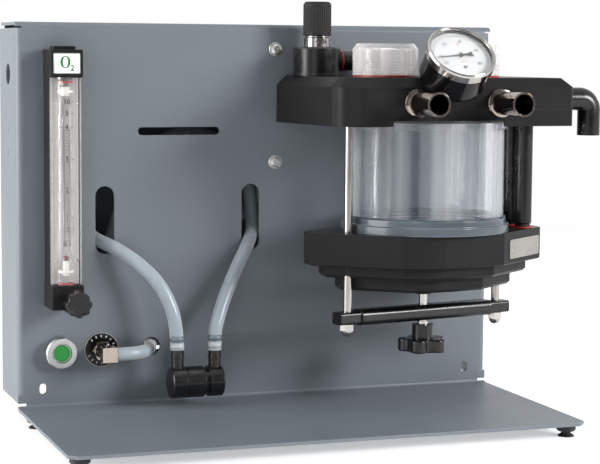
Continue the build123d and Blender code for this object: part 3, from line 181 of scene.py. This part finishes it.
def clear(name, tint, alpha, rim=0.5, transmission=0.85):
    """Clear plastic or glass: faces stay open, edges and grazing angles turn denser."""
    rough = 0.03
    shade = Shade(name, rough, 0.0, IOR=1.49, Transmission_Weight=transmission)
    haze = shade.noise(40.0, 3.0, 0.6, (1, 1, 0.25))
    shade.color(shade.ramp(haze, srgb(tint), (1, 1, 1, 1), 0.2, 0.9))
    shade.roughness(shade.ramp(shade.noise(60.0, 4.0), rough, rough + 0.05, 0.4, 0.75))
    weight = shade.node("ShaderNodeLayerWeight")
    weight.inputs["Blend"].default_value = rim
    shade.link(shade.ramp(weight.outputs["Facing"], alpha, min(alpha + 0.55, 1.0), 0.25, 0.95),
               shade.shader.inputs["Alpha"])
    shade.bump(shade.noise(25.0, 2.0), 0.00001, 0.1)
    return shade


# The lighter edge colours of the powder coat and both black finishes below are painted highlights along sharp
# edges.
POWDER = two_tone("powder_coat", "#636a71", "#686f76", 0.42, 0.0, 5.0, 1400.0, 0.00005, spread=0.04,
                  edge=0.0010, edge_highlight_color="#7d858c")
ANODISED = two_tone("black_anodised", "#1d1d1d", "#232323", 0.34, 0.0, 18.0, 1100.0, 0.00002, spread=0.05,
                    edge=0.0006, edge_highlight_color="#343434", Specular_IOR_Level=0.08)
MOULDED = two_tone("black_moulded", "#060606", "#0b0b0c", 0.26, 0.0, 25.0, 1600.0, 0.00004, edge=0.0006,
                   edge_highlight_color="#1d1d1e", Specular_IOR_Level=0.42)
TEXTURED = two_tone("black_textured", "#0a0a0b", "#1c1c1d", 0.60, 0.0, 500.0, 900.0, 0.00030, edge=0.0005,
                    Specular_IOR_Level=0.3)
GLOSS_BLACK = two_tone("black_gloss", "#040404", "#080809", 0.16, 0.0, 20.0, 500.0, 0.00001, spread=0.02,
                       Specular_IOR_Level=0.3)
FOOT_RUBBER = two_tone("foot_rubber", "#0e0e0e", "#161616", 0.6, 0.0, 60.0, 900.0, 0.00008)
ZINC = two_tone("zinc_plate", "#b4b5b2", "#cbcbc7", 0.30, 0.9, 40.0, 900.0, 0.00001, spread=0.03,
                edge=0.0004)
STEEL = two_tone("polished_steel", "#a3a09d", "#b9b6b3", 0.13, 1.0, 12.0, 700.0, 0.000006, spread=0.02,
                 edge=0.0003)
ROD_STEEL = two_tone("ground_steel", "#948f8b", "#aca7a2", 0.22, 1.0, 30.0, 500.0, 0.00001, (1, 1, 0.04),
                     spread=0.03)
NICKEL = two_tone("nickel_plate", "#968c85", "#aca29a", 0.13, 1.0, 12.0, 600.0, 0.000006, spread=0.02,
                  edge=0.0003)
BRASS = two_tone("brass", "#a5843f", "#c0a058", 0.28, 1.0, 20.0, 700.0, 0.00001, spread=0.03, edge=0.0004)
PLATE = two_tone("nameplate_steel", "#8e8a87", "#a6a29e", 0.32, 0.8, 20.0, 900.0, 0.00002, (1, 0.08, 1))
GREEN = two_tone("button_green", "#0f7d2c", "#168c36", 0.30, 0.0, 60.0, 900.0, 0.00003)
RED_RUBBER = two_tone("seal_red", "#8e1a12", "#ac271c", 0.36, 0.0, 90.0, 900.0, 0.00004)
DARK_RUBBER = two_tone("gasket_dark", "#101214", "#1a1c1e", 0.5, 0.0, 90.0, 900.0, 0.00004)
FLOAT_RED = two_tone("float_red", "#3f0a09", "#641411", 0.20, 0.0, 200.0, 900.0, 0.00002)
WHITE = two_tone("white_nylon", "#cfccc7", "#dedbd6", 0.40, 0.0, 60.0, 900.0, 0.00003)
LABEL = two_tone("white_label", "#f0f1f0", "#fafbfa", 0.30, 0.0, 40.0, 1200.0, 0.00001)
DIAL = two_tone("dial_white", "#d3d5d6", "#dcdedf", 0.40, 0.0, 40.0, 1200.0, 0.00001)
INK = two_tone("ink_black", "#0b0b0b", "#151515", 0.45, 0.0, 90.0, 1200.0, 0.00001)
INK_GREY = two_tone("ink_grey", "#474b50", "#565b60", 0.45, 0.0, 90.0, 1200.0, 0.00001)
INK_PALE = two_tone("ink_pale", "#a9abac", "#bcbebf", 0.45, 0.0, 90.0, 1200.0, 0.00001)
INK_GREEN = two_tone("ink_green", "#0d6328", "#137233", 0.40, 0.0, 90.0, 1200.0, 0.00001)
INK_RED = two_tone("ink_red", "#b3321f", "#c64430", 0.40, 0.0, 90.0, 1200.0, 0.00001)
# Painted highlight: noise stretched upright gives the pale backing bright vertical streaks.
BACKING_WITH_PAINTED_STREAKS = two_tone("scale_backing", "#8c8886", "#b9b4b0", 0.30, 0.0, 500.0, 900.0, 0.00001, (1, 1, 0.002))
ACRYLIC = clear("clear_acrylic", "#f6f9fa", 0.10)
DOME = clear("dome_clear", "#fffaf6", 0.26, rim=0.62, transmission=0.5)
TUBE_GLASS = clear("tube_glass", "#f6f8f9", 0.06)
LENS = clear("gauge_lens", "#ffffff", 0.03)
# The pale edge colour of the smoked ring is a painted highlight along its sharp edges.
SMOKE = two_tone("smoke_plastic", "#3c444b", "#4e575f", 0.16, 0.0, 30.0, 400.0, 0.00002, (1, 1, 2.5),
                 spread=0.04, edge=0.0007, edge_highlight_color="#a9b3bb")


def streaked_clear(name):
    """Clear cylinder wall carrying soft upright streaks of reflected studio."""
    shade = Shade(name, 0.05, 0.0, IOR=1.49, Transmission_Weight=0.6)
    upright = (1, 1, 0.004)
    wide = shade.ramp(shade.noise(26.0, 1.0, 0.4, upright), 0.0, 1.0, 0.40, 0.62)
    narrow = shade.ramp(shade.noise(120.0, 2.0, 0.5, upright), 0.0, 1.0, 0.42, 0.62)
    streak = shade.mix(0.3, wide, narrow)
    shade.color(shade.mix(streak, srgb("#9aa7b4"), srgb("#eef1f4")))
    weight = shade.node("ShaderNodeLayerWeight")
    weight.inputs["Blend"].default_value = 0.42
    rim = shade.ramp(weight.outputs["Facing"], 0.0, 0.6, 0.25, 0.95)
    veil = shade.ramp(streak, 0.05, 0.40, 0.15, 0.85)
    total = shade.node("ShaderNodeMath", operation="ADD", use_clamp=True)
    shade.link(rim, total.inputs[0])
    shade.link(veil, total.inputs[1])
    shade.link(total.outputs["Value"], shade.shader.inputs["Alpha"])
    shade.bump(shade.noise(25.0, 2.0, 0.5, (1, 1, 0.1)), 0.00004, 0.3)
    return shade


CANISTER = streaked_clear("canister_clear")


def silicone(name):
    """Milky hose wall: soft light inside, smooth skin, and a painted sheen that turns it paler and warmer along
    the silhouette.
    """
    shade = Shade(name, 0.24, 0.0, Subsurface_Weight=0.5, Subsurface_Scale=0.004, IOR=1.41)
    shade.shader.inputs["Subsurface Radius"].default_value = (1.0, 0.95, 0.9)
    base = shade.ramp(shade.noise(9.0, 1.0, 0.4), srgb("#929ca3"), srgb("#a2acb2"), 0.3, 0.7)
    # Painted sheen: the colour turns pale and warm where the surface faces away from view.
    weight = shade.node("ShaderNodeLayerWeight")
    weight.inputs["Blend"].default_value = 0.35
    edge = shade.ramp(weight.outputs["Facing"], 0.0, 1.0, 0.35, 0.95)
    shade.color(shade.mix(edge, base, srgb("#d3cfca")))
    shade.roughness(shade.ramp(shade.noise(30.0, 2.0), 0.2, 0.28))
    return shade


# The darker band colour is painted shade where the spigots show through the hose ends.
HOSE_SHADE_BAND = two_tone("hose_shade_band", "#5d6871", "#6b7680", 0.24, 0.0, 60.0, 900.0, 0.00001)
HOSE_LIP = two_tone("hose_lip", "#a2a8ac", "#b0b5b8", 0.24, 0.0, 60.0, 900.0, 0.00001)
SILICONE = silicone("milky_silicone")
NYLON = silicone("nylon_tube")


def turned_face(name, centre, axis):
    """Lathe-turned metal: fine rings about an axis, seen in bump and roughness."""
    shade = Shade(name, 0.26, 1.0)
    offset = shade.node("ShaderNodeVectorMath", operation="SUBTRACT")
    offset.inputs[1].default_value = centre
    shade.link(shade.coords, offset.inputs[0])
    flat = shade.node("ShaderNodeVectorMath", operation="MULTIPLY")
    flat.inputs[1].default_value = [0.0 if abs(a) > 0.5 else 1.0 for a in axis]
    shade.link(offset.outputs["Vector"], flat.inputs[0])
    length = shade.node("ShaderNodeVectorMath", operation="LENGTH")
    shade.link(flat.outputs["Vector"], length.inputs[0])
    rings = shade.node("ShaderNodeTexNoise", noise_dimensions="1D")
    rings.inputs["Scale"].default_value = 2600.0
    rings.inputs["Detail"].default_value = 2.0
    shade.link(length.outputs["Value"], rings.inputs["W"])
    shade.color(shade.ramp(rings.outputs["Fac"], srgb("#a9aaaa"), srgb("#c0c1c0"), 0.3, 0.7))
    shade.roughness(shade.ramp(rings.outputs["Fac"], 0.2, 0.3))
    shade.bump(rings.outputs["Fac"], 0.00002, 0.3)
    return shade


BEZEL = turned_face("turned_bezel", at(-200.5, 0, 59.7), (0, 1, 0))

NODE_LOOKS = {
    POWDER: ["chassis_panel", "rear_cover"],
    FOOT_RUBBER: ["rubber_feet"],
    ZINC: ["rear_stiffener", "panel_fasteners"],
    ANODISED: ["flowmeter_body", "gas_manifold", "head_lower_block", "head_upper_block", "absorber_base"],
    ACRYLIC: ["flowmeter_housing"],
    DOME: ["valve_domes"],
    TUBE_GLASS: ["flowmeter_tube"],
    LENS: ["gauge_glass"],
    CANISTER: ["canister_cylinder"],
    SMOKE: ["canister_base_ring"],
    FLOAT_RED: ["flow_float"],
    WHITE: ["float_stops", "inspiratory_disc", "expiratory_disc"],
    LABEL: ["flowmeter_label"],
    MOULDED: ["flowmeter_knob", "left_taper_elbow", "right_taper_elbow", "clamp_knob", "clamp_pad",
              "clamp_bar", "bag_elbow", "apl_body", "scavenge_outlet", "transfer_tubes"],
    TEXTURED: ["apl_knob"],
    GLOSS_BLACK: ["gauge_case", "outlet_label_disc"],
    BRASS: ["flush_valve_body", "rear_barb_elbows", "oxygen_inlet"],
    BEZEL: ["flush_bezel"],
    GREEN: ["flush_button"],
    NICKEL: ["outlet_bulkhead", "outlet_elbow", "breathing_ports"],
    STEEL: ["apl_ring", "apl_spring_cup", "apl_disc", "gauge_bezel", "acorn_nuts", "clamp_screw", "apl_spring",
            "flush_spring"],
    ROD_STEEL: ["tie_rods"],
    RED_RUBBER: ["red_seals"],
    DARK_RUBBER: ["canister_gasket"],
    DIAL: ["gauge_dial"],
    INK: ["gauge_pointer"],
    PLATE: ["nameplate"],
}
for shade, names in NODE_LOOKS.items():
    for name in names:
        mesh = NODES[name].data
        mesh.materials.clear()
        mesh.materials.append(shade.material)


# ------------------------------------------------------------------ building helpers
def add(name, mesh, shade, body="machine"):
    piece = bpy.data.objects.new(name, mesh)
    bpy.context.scene.collection.objects.link(piece)
    mesh.materials.clear()
    mesh.materials.append(shade.material)
    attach(piece, body)
    return piece


def mesh_of(name, build, smooth=False):
    """Runs build(bm) on an empty bmesh and returns the mesh."""
    bm = bmesh.new()
    build(bm)
    bmesh.ops.recalc_face_normals(bm, faces=bm.faces)
    mesh = bpy.data.meshes.new(name)
    bm.to_mesh(mesh)
    bm.free()
    if smooth:
        mesh.polygons.foreach_set("use_smooth", [True] * len(mesh.polygons))
    return mesh


def slab(bm, place, width, height, depth):
    """Closed block centred on `place` in X and Y, rising `depth` along its Z; metres."""
    sides = ((-1, -1), (1, -1), (1, 1), (-1, 1))
    corners = [(sx * width / 2, sy * height / 2, z) for z in (0, depth) for sx, sy in sides]
    verts = [bm.verts.new(place @ Vector(c)) for c in corners]
    for ids in ((3, 2, 1, 0), (4, 5, 6, 7), (0, 1, 5, 4), (1, 2, 6, 5), (2, 3, 7, 6), (3, 0, 4, 7)):
        bm.faces.new([verts[i] for i in ids])


def lathe(bm, place, profile, segments=48):
    """Closed solid of revolution about place's Z from (radius, height) in metres."""
    rings = []
    for radius, height in profile:
        if radius < 1e-7:
            rings.append([bm.verts.new(place @ Vector((0, 0, height)))])
            continue
        ring = []
        for i in range(segments):
            angle = 2 * math.pi * i / segments
            point = Vector((radius * math.cos(angle), radius * math.sin(angle), height))
            ring.append(bm.verts.new(place @ point))
        rings.append(ring)
    closed = rings if profile[0][0] < 1e-7 else rings + [rings[0]]
    for a, b in zip(closed, closed[1:]):
        for i in range(segments):
            j = (i + 1) % segments
            corner = [a[i % len(a)], a[j % len(a)], b[j % len(b)], b[i % len(b)]]
            unique = [v for k, v in enumerate(corner) if v not in corner[:k]]
            if len(unique) > 2:
                bm.faces.new(unique)


def facing(point, x_axis, z_axis):
    """Matrix whose Z points out of a printed face and whose X runs along its lettering."""
    x = Vector(x_axis).normalized()
    z = Vector(z_axis).normalized()
    y = z.cross(x)
    return Matrix.Translation(point) @ Matrix(((x.x, y.x, z.x), (x.y, y.y, z.y), (x.z, y.z, z.z))).to_4x4()


def lettering(name, entries, shade, body, thickness=0.00006, bold=0.0):
    """Figures as one flat mesh. Each entry is (text, matrix, height in metres); bold widens the strokes."""
    bm = bmesh.new()
    for i, (text, place, height) in enumerate(entries):
        curve = bpy.data.curves.new(f"{name}_{i}", "FONT")
        curve.body = text
        curve.size = height / 0.72
        curve.align_x = "CENTER"
        curve.align_y = "CENTER"
        curve.extrude = thickness / 2
        curve.offset = bold
        curve.resolution_u = 3
        holder = bpy.data.objects.new(f"{name}_{i}", curve)
        flat = bpy.data.meshes.new_from_object(holder)
        flat.transform(place)
        bm.from_mesh(flat)
        bpy.data.objects.remove(holder)
        bpy.data.meshes.remove(flat)
        bpy.data.curves.remove(curve)
    mesh = bpy.data.meshes.new(name)
    bm.to_mesh(mesh)
    bm.free()
    return add(name, mesh, shade, body)


# ------------------------------------------------------------------ hoses
def hose(name, points, diameter, shade, node):
    """A hose on one NURBS spline with the route's own control points."""
    curve = bpy.data.curves.new(name, "CURVE")
    curve.dimensions = "3D"
    curve.bevel_depth = diameter / 2 * MM
    curve.bevel_resolution = 8
    curve.resolution_u = 10
    curve.use_fill_caps = True
    spline = curve.splines.new("NURBS")
    spline.points.add(len(points) - 1)
    for knot, point in zip(spline.points, points):
        knot.co = (*at(*point), 1.0)
    spline.order_u = 3
    spline.use_endpoint_u = True
    spline.use_smooth = True
    piece = bpy.data.objects.new(name, curve)
    bpy.context.scene.collection.objects.link(piece)
    curve.materials.append(shade.material)
    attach(piece, "machine")
    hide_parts(node)
    return piece


OUTLET_X = -160.4
FLOW_X = -199.8
FLUSH_X = -200.5
fresh_route = [
    (OUTLET_X + 7.3, -32, 59.9), (-142, -32, 59.9), (-131, -28.5, 60), (-121.5, -20, 60.2), (-115, -7.5, 60.5),
    (-110.5, 7.5, 61.5), (-106.5, 22, 64), (-100, 35.5, 70), (-90.5, 47, 80.5), (-79, 51.5, 93.5),
    (-67, 54, 107.5), (-55, 55.5, 121.5), (-43, 56.5, 135.5), (-31, 57.5, 149), (-19, 59, 163.5),
    (-7, 58.5, 178), (4.5, 57, 192.5), (16, 53, 206.5), (26.5, 46.5, 220.5), (36, 37.5, 234.5),
    (43.5, 29, 249), (48.5, 23.5, 262), (50, 22, 274.5), (50, 22, 287.2),
]
left_route = [
    (FLOW_X, 22, 293), (FLOW_X, 22, 277), (-196.5, 26.5, 256), (-189, 34.5, 235), (-182, 40.5, 213.5),
    (-177, 40.5, 192), (-171, 30.5, 174.5), (-163, 13, 163.5), (-153, -5.5, 159.5), (-140, -17.5, 151.5),
    (-124.5, -25, 139), (-111, -30.5, 123.5), (-101.5, -35, 104), (-97, -37.5, 83), (-96.2, -38, 62.4),
]
right_route = [
    (-59.8, -38, 60.9), (-59.8, -38, 77), (-55.5, -34.5, 90), (-49, -29.5, 105), (-40, -23.5, 122),
    (-30, -17.5, 139.5), (-18, -8, 156), (-8, 9.5, 166), (-2, 26, 175.5), (0, 37.5, 192), (-1, 43, 213),
    (-7, 46.5, 233), (-20, 48.5, 250), (-39, 50, 260), (-60.5, 50, 262.5), (-81.5, 50.5, 258.5),
    (-99.5, 50, 247), (-113, 50, 230), (-121.5, 50, 210.5), (-129.5, 48, 190), (-137, 44.5, 170.5),
    (-144.5, 39.5, 150.5), (-151, 34.5, 130.5), (-156.5, 29.5, 110), (-159.5, 26.5, 89.5),
    (OUTLET_X, 25.5, 67.4),
]
supply_route = [
    (214, 40, 296), (196, 40, 296), (178, 42, 284), (164, 44, 266), (150.5, 47, 243), (134, 50, 218),
    (112, 53, 196), (91.5, 56, 179), (70, 59, 164), (47.5, 62, 151), (24, 64.5, 140.5), (-0.5, 66.5, 133),
    (-25.5, 67.5, 127), (-50, 67, 121.5), (-71, 64, 114), (-87, 58, 105.5), (-97.5, 50.5, 99),
    (-104, 41.5, 96), (-104, 31, 96),
]
flow_feed_route = [
    (-136, 31, 96), (-136, 37, 96), (-139.5, 42.5, 98.5), (-147, 45, 104), (-157, 44, 110.5),
    (-168, 41, 115.5), (-180, 36, 118.2), (-190.5, 28.5, 118.5), (-197.5, 18, 118.2), (FLOW_X, 8, 118),
    (FLOW_X, 0, 118),
]
flush_feed_route = [
    (-120, 31, 96), (-120, 37, 96), (-123.5, 44, 96.5), (-131, 49, 98), (-143, 51, 99.5), (-157, 51, 100.5),
    (-171, 49, 100.5), (-183, 45.5, 98.5), (-192.5, 41, 94), (-198.5, 37.5, 89), (FLUSH_X, 36, 83.5),
    (FLUSH_X, 36, 77.7),
]
HOSE_D = 12.7
TUBE_D = 5.0
hose("fresh_gas_hose_silicone", fresh_route, HOSE_D, SILICONE, "fresh_gas_hose")
hose("left_hose_silicone", left_route, HOSE_D, SILICONE, "left_hose")
hose("right_hose_silicone", right_route, HOSE_D, SILICONE, "right_hose")
TUBES = (
    ("supply_tube", supply_route, 409.1),
    ("flow_feed_tube", flow_feed_route, 103.2),
    ("flush_feed_tube", flush_feed_route, 107.1),
)
for name, route, length in TUBES:
    hose(name, route, TUBE_D, NYLON, "oxygen_tubes")


def hose_ends():
    """Darker and paler bands where the tapered spigots show through the milky hose ends; the darker band is
    painted shade.
    """
    inner, outer = 0.0059, 0.00655
    tall = 5.4 * MM
    profile = [(inner, 0), (outer, 0), (outer, tall), (inner, tall)]
    for name, low, shade in (("hose_end_shade_bands", 70.2, HOSE_SHADE_BAND), ("hose_end_lips", 63.2, HOSE_LIP)):
        def build(bm, low=low):
            for x, y in ((-96.55, -37.8), (-59.8, -38.0)):
                lathe(bm, Matrix.Translation(at(x, y, low)), profile)

        add(name, mesh_of(name, build, True), shade)


hose_ends()


# ------------------------------------------------------------------ flowmeter scale and label
def flowmeter_scale():
    """Pale backing with painted upright highlight streaks, graduations and figures of the oxygen flowmeter."""
    low, high = 126.5, 317.0

    def strip(bm):
        spot = at(FLOW_X, -22.1, (low + high) / 2)
        slab(bm, facing(spot, (1, 0, 0), (0, -1, 0)), 0.0262, (high - low) * MM, 0.0001)

    add("scale_backing", mesh_of("scale_backing", strip), BACKING_WITH_PAINTED_STREAKS)
    marks = {10: 295.0, 5: 284.5, 4: 272.0, 3: 242.5, 2: 214.0, 1: 189.0, 0.5: 178.0, 0.1: 164.5}
    values = sorted(marks)
    face = -33.05

    def ticks(bm):
        line = 0.00042
        for x in (-2.6, 2.6):
            spot = at(FLOW_X + x, face, (marks[0.1] + marks[4]) / 2)
            slab(bm, facing(spot, (1, 0, 0), (0, -1, 0)), line * 0.8, (marks[4] - marks[0.1]) * MM, 0.00008)
        for a, b in zip(values, values[1:]):
            count = {10: 1, 5: 1, 1: 5, 0.5: 4}.get(b, 10)
            for i in range(1, count + 1):
                z = marks[a] + (marks[b] - marks[a]) * i / count
                if i == count:
                    for side in (-1, 1):
                        spot = at(FLOW_X + side * 5.4, face, z)
                        slab(bm, facing(spot, (1, 0, 0), (0, -1, 0)), 0.0026, line * 1.3, 0.00008)
                else:
                    wide = 0.0072 if i * 2 == count else 0.0050
                    slab(bm, facing(at(FLOW_X, face, z), (1, 0, 0), (0, -1, 0)), wide, line, 0.00008)

    add("scale_ticks", mesh_of("scale_ticks", ticks), INK)
    figures = []
    for value, z in marks.items():
        text = {0.5: ".5", 0.1: "0.1"}.get(value, str(value))
        figures.append((text, facing(at(FLOW_X + 0.2, face - 0.1, z), (1, 0, 0), (0, -1, 0)), 0.0044))
    lettering("scale_figures", figures, INK, "machine", bold=0.00016)


def oval_letter(bm, place, outer, inner, depth):
    """Letter O with thick sides and thin top: two ovals given as (half width, half height)."""
    steps = 40
    rings = []
    for z in (0.0, depth):
        for half_w, half_h in (outer, inner):
            angles = [2 * math.pi * i / steps for i in range(steps)]
            rings.append([bm.verts.new(place @ Vector((half_w * math.cos(a), half_h * math.sin(a), z)))
                          for a in angles])
    for a, b in ((0, 1), (3, 2), (2, 0), (1, 3)):
        for i in range(steps):
            j = (i + 1) % steps
            bm.faces.new((rings[a][i], rings[a][j], rings[b][j], rings[b][i]))


def oxygen_label():
    """Chemical symbol of oxygen in a thin green frame."""
    front = -36.8
    x, z, width, height = -200.0, 330.1, 24.4, 18.4

    def frame_lines(bm):
        line = 0.0004
        for dx, dz, w, h in ((0, height / 2 - 0.4, width - 0.4, 0), (0, 0.4 - height / 2, width - 0.4, 0),
                             (width / 2 - 0.4, 0, 0, height - 0.4), (0.4 - width / 2, 0, 0, height - 0.4)):
            place = facing(at(x + dx, front, z + dz), (1, 0, 0), (0, -1, 0))
            slab(bm, place, w * MM + line, h * MM + line, 0.00006)

    def letter(bm):
        place = facing(at(x - 1.5, front, z + 1.2), (1, 0, 0), (0, -1, 0))
        oval_letter(bm, place, (0.0047, 0.0056), (0.0023, 0.0048), 0.00006)

    add("label_frame", mesh_of("label_frame", frame_lines), INK_GREEN)
    add("label_letter", mesh_of("label_letter", letter), INK_GREEN)
    two = facing(at(x + 4.9, front, z - 4.4), (1, 0, 0), (0, -1, 0))
    lettering("label_figure", [("2", two, 0.0052)], INK_GREEN, "machine", bold=0.00025)


def small_screws():
    """Small screws at the sides of the clear shield."""
    profile = [(0, 0), (0.0011, 0), (0.0011, 0.0004), (0.0007, 0.0007), (0, 0.0007)]

    def build(bm):
        for z in (293.6, 150.0):
            for x in (-11.0, 9.0):
                lathe(bm, facing(at(FLOW_X + x, -35.0, z), (1, 0, 0), (0, -1, 0)), profile, 20)

    add("shield_screws", mesh_of("shield_screws", build, True), STEEL)


def plate_rivets():
    """Rivets at both ends of the nameplate on the base's right facet."""
    heading = math.atan2(50, 62)
    along = Vector((math.cos(heading), math.sin(heading), 0))
    out = Vector((math.sin(heading), -math.cos(heading), 0))
    middle = Vector((133 + 56, -87 - 59, 159.1)) + along * 43.2 + out * 0.8
    profile = [(0, -0.0002), (0.0012, -0.0002), (0.0012, 0.0003), (0.0008, 0.0007), (0, 0.0008)]

    def build(bm):
        for side in (-1, 1):
            spot = middle + along * 28.6 * side + Vector((0, 0, -0.6))
            lathe(bm, facing(at(*spot), along, out), profile, 20)

    add("plate_rivets", mesh_of("plate_rivets", build, True), ZINC, "absorber")


# ------------------------------------------------------------------ gauge dial
def gauge_print():
    """Graduations, figures, two red marks and a small grey mark on the dial."""
    centre = at(134, -166.1, 343.3)
    out = Vector((0, -1, 1)).normalized()
    face = facing(centre + out * -0.00595, (1, 0, 0), out)
    zero_angle, degrees_per_unit = 180.0, 2.6
    figure_radius, line_radius = 0.0192, 0.0262

    def ticks(bm):
        for value in range(-10, 82, 2):
            angle = math.radians(zero_angle - degrees_per_unit * value)
            length = 0.0026 if value % 10 == 0 else 0.0015
            radius = line_radius - length / 2
            spot = Vector((radius * math.cos(angle), radius * math.sin(angle), 0))
            place = face @ Matrix.Translation(spot) @ Matrix.Rotation(angle, 4, "Z")
            slab(bm, place, length, 0.0003, 0.00005)

    add("dial_ticks", mesh_of("dial_ticks", ticks), INK_GREY)

    def ring(bm):
        lathe(bm, face, [(line_radius, 0), (line_radius + 0.0002, 0), (line_radius + 0.0002, 0.00005),
                         (line_radius, 0.00005)], 96)

    add("dial_ring", mesh_of("dial_ring", ring), INK_GREY)
    figures = []
    for value in (-10, 0, 20, 40, 60, 80):
        angle = math.radians(zero_angle - degrees_per_unit * value)
        spot = Vector((figure_radius * math.cos(angle), figure_radius * math.sin(angle), 0))
        figures.append((str(value), face @ Matrix.Translation(spot), 0.0032))
    lettering("dial_figures", figures, INK_GREY, "machine", bold=0.00012)

    def dots(bm):
        profile = [(0, 0), (0.0010, 0), (0.0010, 0.00006), (0, 0.00006)]
        for x, y in ((0.0010, 0.0150), (0.0011, -0.0064)):
            lathe(bm, face @ Matrix.Translation((x, y, 0)), profile, 20)

    add("dial_dots", mesh_of("dial_dots", dots), INK_RED)

    def stamp(bm):
        turn = Matrix.Translation((0.0009, -0.0135, 0)) @ Matrix.Rotation(math.radians(-20), 4, "Z")
        slab(bm, face @ turn, 0.0036, 0.0030, 0.00006)

    add("dial_stamp", mesh_of("dial_stamp", stamp), INK_GREY)


def outlet_rim():
    """Thin bright line round the outlet's disc, and pale dashes where its words would stand."""
    place = facing(at(OUTLET_X, -0.8, 59.9), (1, 0, 0), (0, -1, 0))

    def build(bm):
        lathe(bm, place, [(0.0158, -0.0001), (0.0164, -0.0001), (0.0164, 0.0001), (0.0158, 0.0001)], 80)

    add("outlet_rim", mesh_of("outlet_rim", build), ZINC)

    def dashes(bm):
        outward = Matrix.Translation((0.0130, 0, 0))
        for start, count in ((25, 6), (205, 4)):
            for i in range(count):
                turn = Matrix.Rotation(math.radians(start + 22 * i), 4, "Z") @ outward
                slab(bm, place @ turn, 0.0021, 0.0011, 0.00006)

    add("outlet_dashes", mesh_of("outlet_dashes", dashes), INK_PALE)


flowmeter_scale()
oxygen_label()
small_screws()
plate_rivets()
gauge_print()
outlet_rim()


# ------------------------------------------------------------------ floor and light
def floor():
    """Round pale floor."""
    mesh = mesh_of("floor", lambda bm: lathe(
        bm, Matrix.Identity(4), [(0, -0.02), (2.1, -0.02), (2.1, 0.0), (0, 0.0)], 96))
    piece = bpy.data.objects.new("floor", mesh)
    bpy.context.scene.collection.objects.link(piece)
    shade = two_tone("floor_paint", "#f4f4f4", "#f8f8f8", 0.7, 0.0, 2.0, 300.0, 0.00002,
                     Emission_Color=(1, 1, 1, 1), Emission_Strength=0.4)
    mesh.materials.append(shade.material)


def softbox(name, spot, target, width, height, power):
    data = bpy.data.lights.new(name, "AREA")
    data.shape = "RECTANGLE"
    data.size = width
    data.size_y = height
    data.energy = power
    lamp = bpy.data.objects.new(name, data)
    lamp.location = spot
    lamp.rotation_euler = (Vector(target) - Vector(spot)).to_track_quat("-Z", "Y").to_euler()
    bpy.context.scene.collection.objects.link(lamp)


def studio():
    """White surroundings that light the object softly. Mirrored at the front they are dark, like a dim room."""
    world = bpy.data.worlds.new("studio")
    bpy.context.scene.world = world
    world.use_nodes = True
    tree = world.node_tree
    direction = tree.nodes.new("ShaderNodeTexCoord")
    axes = tree.nodes.new("ShaderNodeSeparateXYZ")
    tree.links.new(direction.outputs["Generated"], axes.inputs["Vector"])
    backward = tree.nodes.new("ShaderNodeMapRange")
    backward.inputs["From Min"].default_value = -0.80
    backward.inputs["From Max"].default_value = -0.35
    backward.inputs["To Min"].default_value = 0.15
    backward.inputs["To Max"].default_value = 1.0
    tree.links.new(axes.outputs["Y"], backward.inputs["Value"])
    path = tree.nodes.new("ShaderNodeLightPath")
    mirrored = tree.nodes.new("ShaderNodeMix")
    mirrored.inputs["A"].default_value = 1.0
    tree.links.new(path.outputs["Is Glossy Ray"], mirrored.inputs["Factor"])
    tree.links.new(backward.outputs["Result"], mirrored.inputs["B"])
    strength = tree.nodes.new("ShaderNodeMix")
    strength.inputs["B"].default_value = 0.26
    tree.links.new(path.outputs["Is Diffuse Ray"], strength.inputs["Factor"])
    tree.links.new(mirrored.outputs["Result"], strength.inputs["A"])
    backdrop = tree.nodes["Background"]
    backdrop.inputs["Color"].default_value = (1.0, 1.0, 1.0, 1.0)
    tree.links.new(strength.outputs["Result"], backdrop.inputs["Strength"])


floor()
softbox("key", (2.0, -2.0, 1.15), (0, 0, 0.2), 0.9, 0.9, 92)
softbox("left", (-2.3, 0.15, 0.7), (0, 0.1, 0.2), 1.7, 2.0, 80)
softbox("fill", (-1.6, -2.4, 0.9), (0, 0, 0.2), 1.2, 1.6, 8)
softbox("top", (0.0, -0.2, 2.6), (0, 0, 0.2), 2.0, 1.4, 8)
studio()
bpy.context.scene.view_settings.view_transform = "Standard"
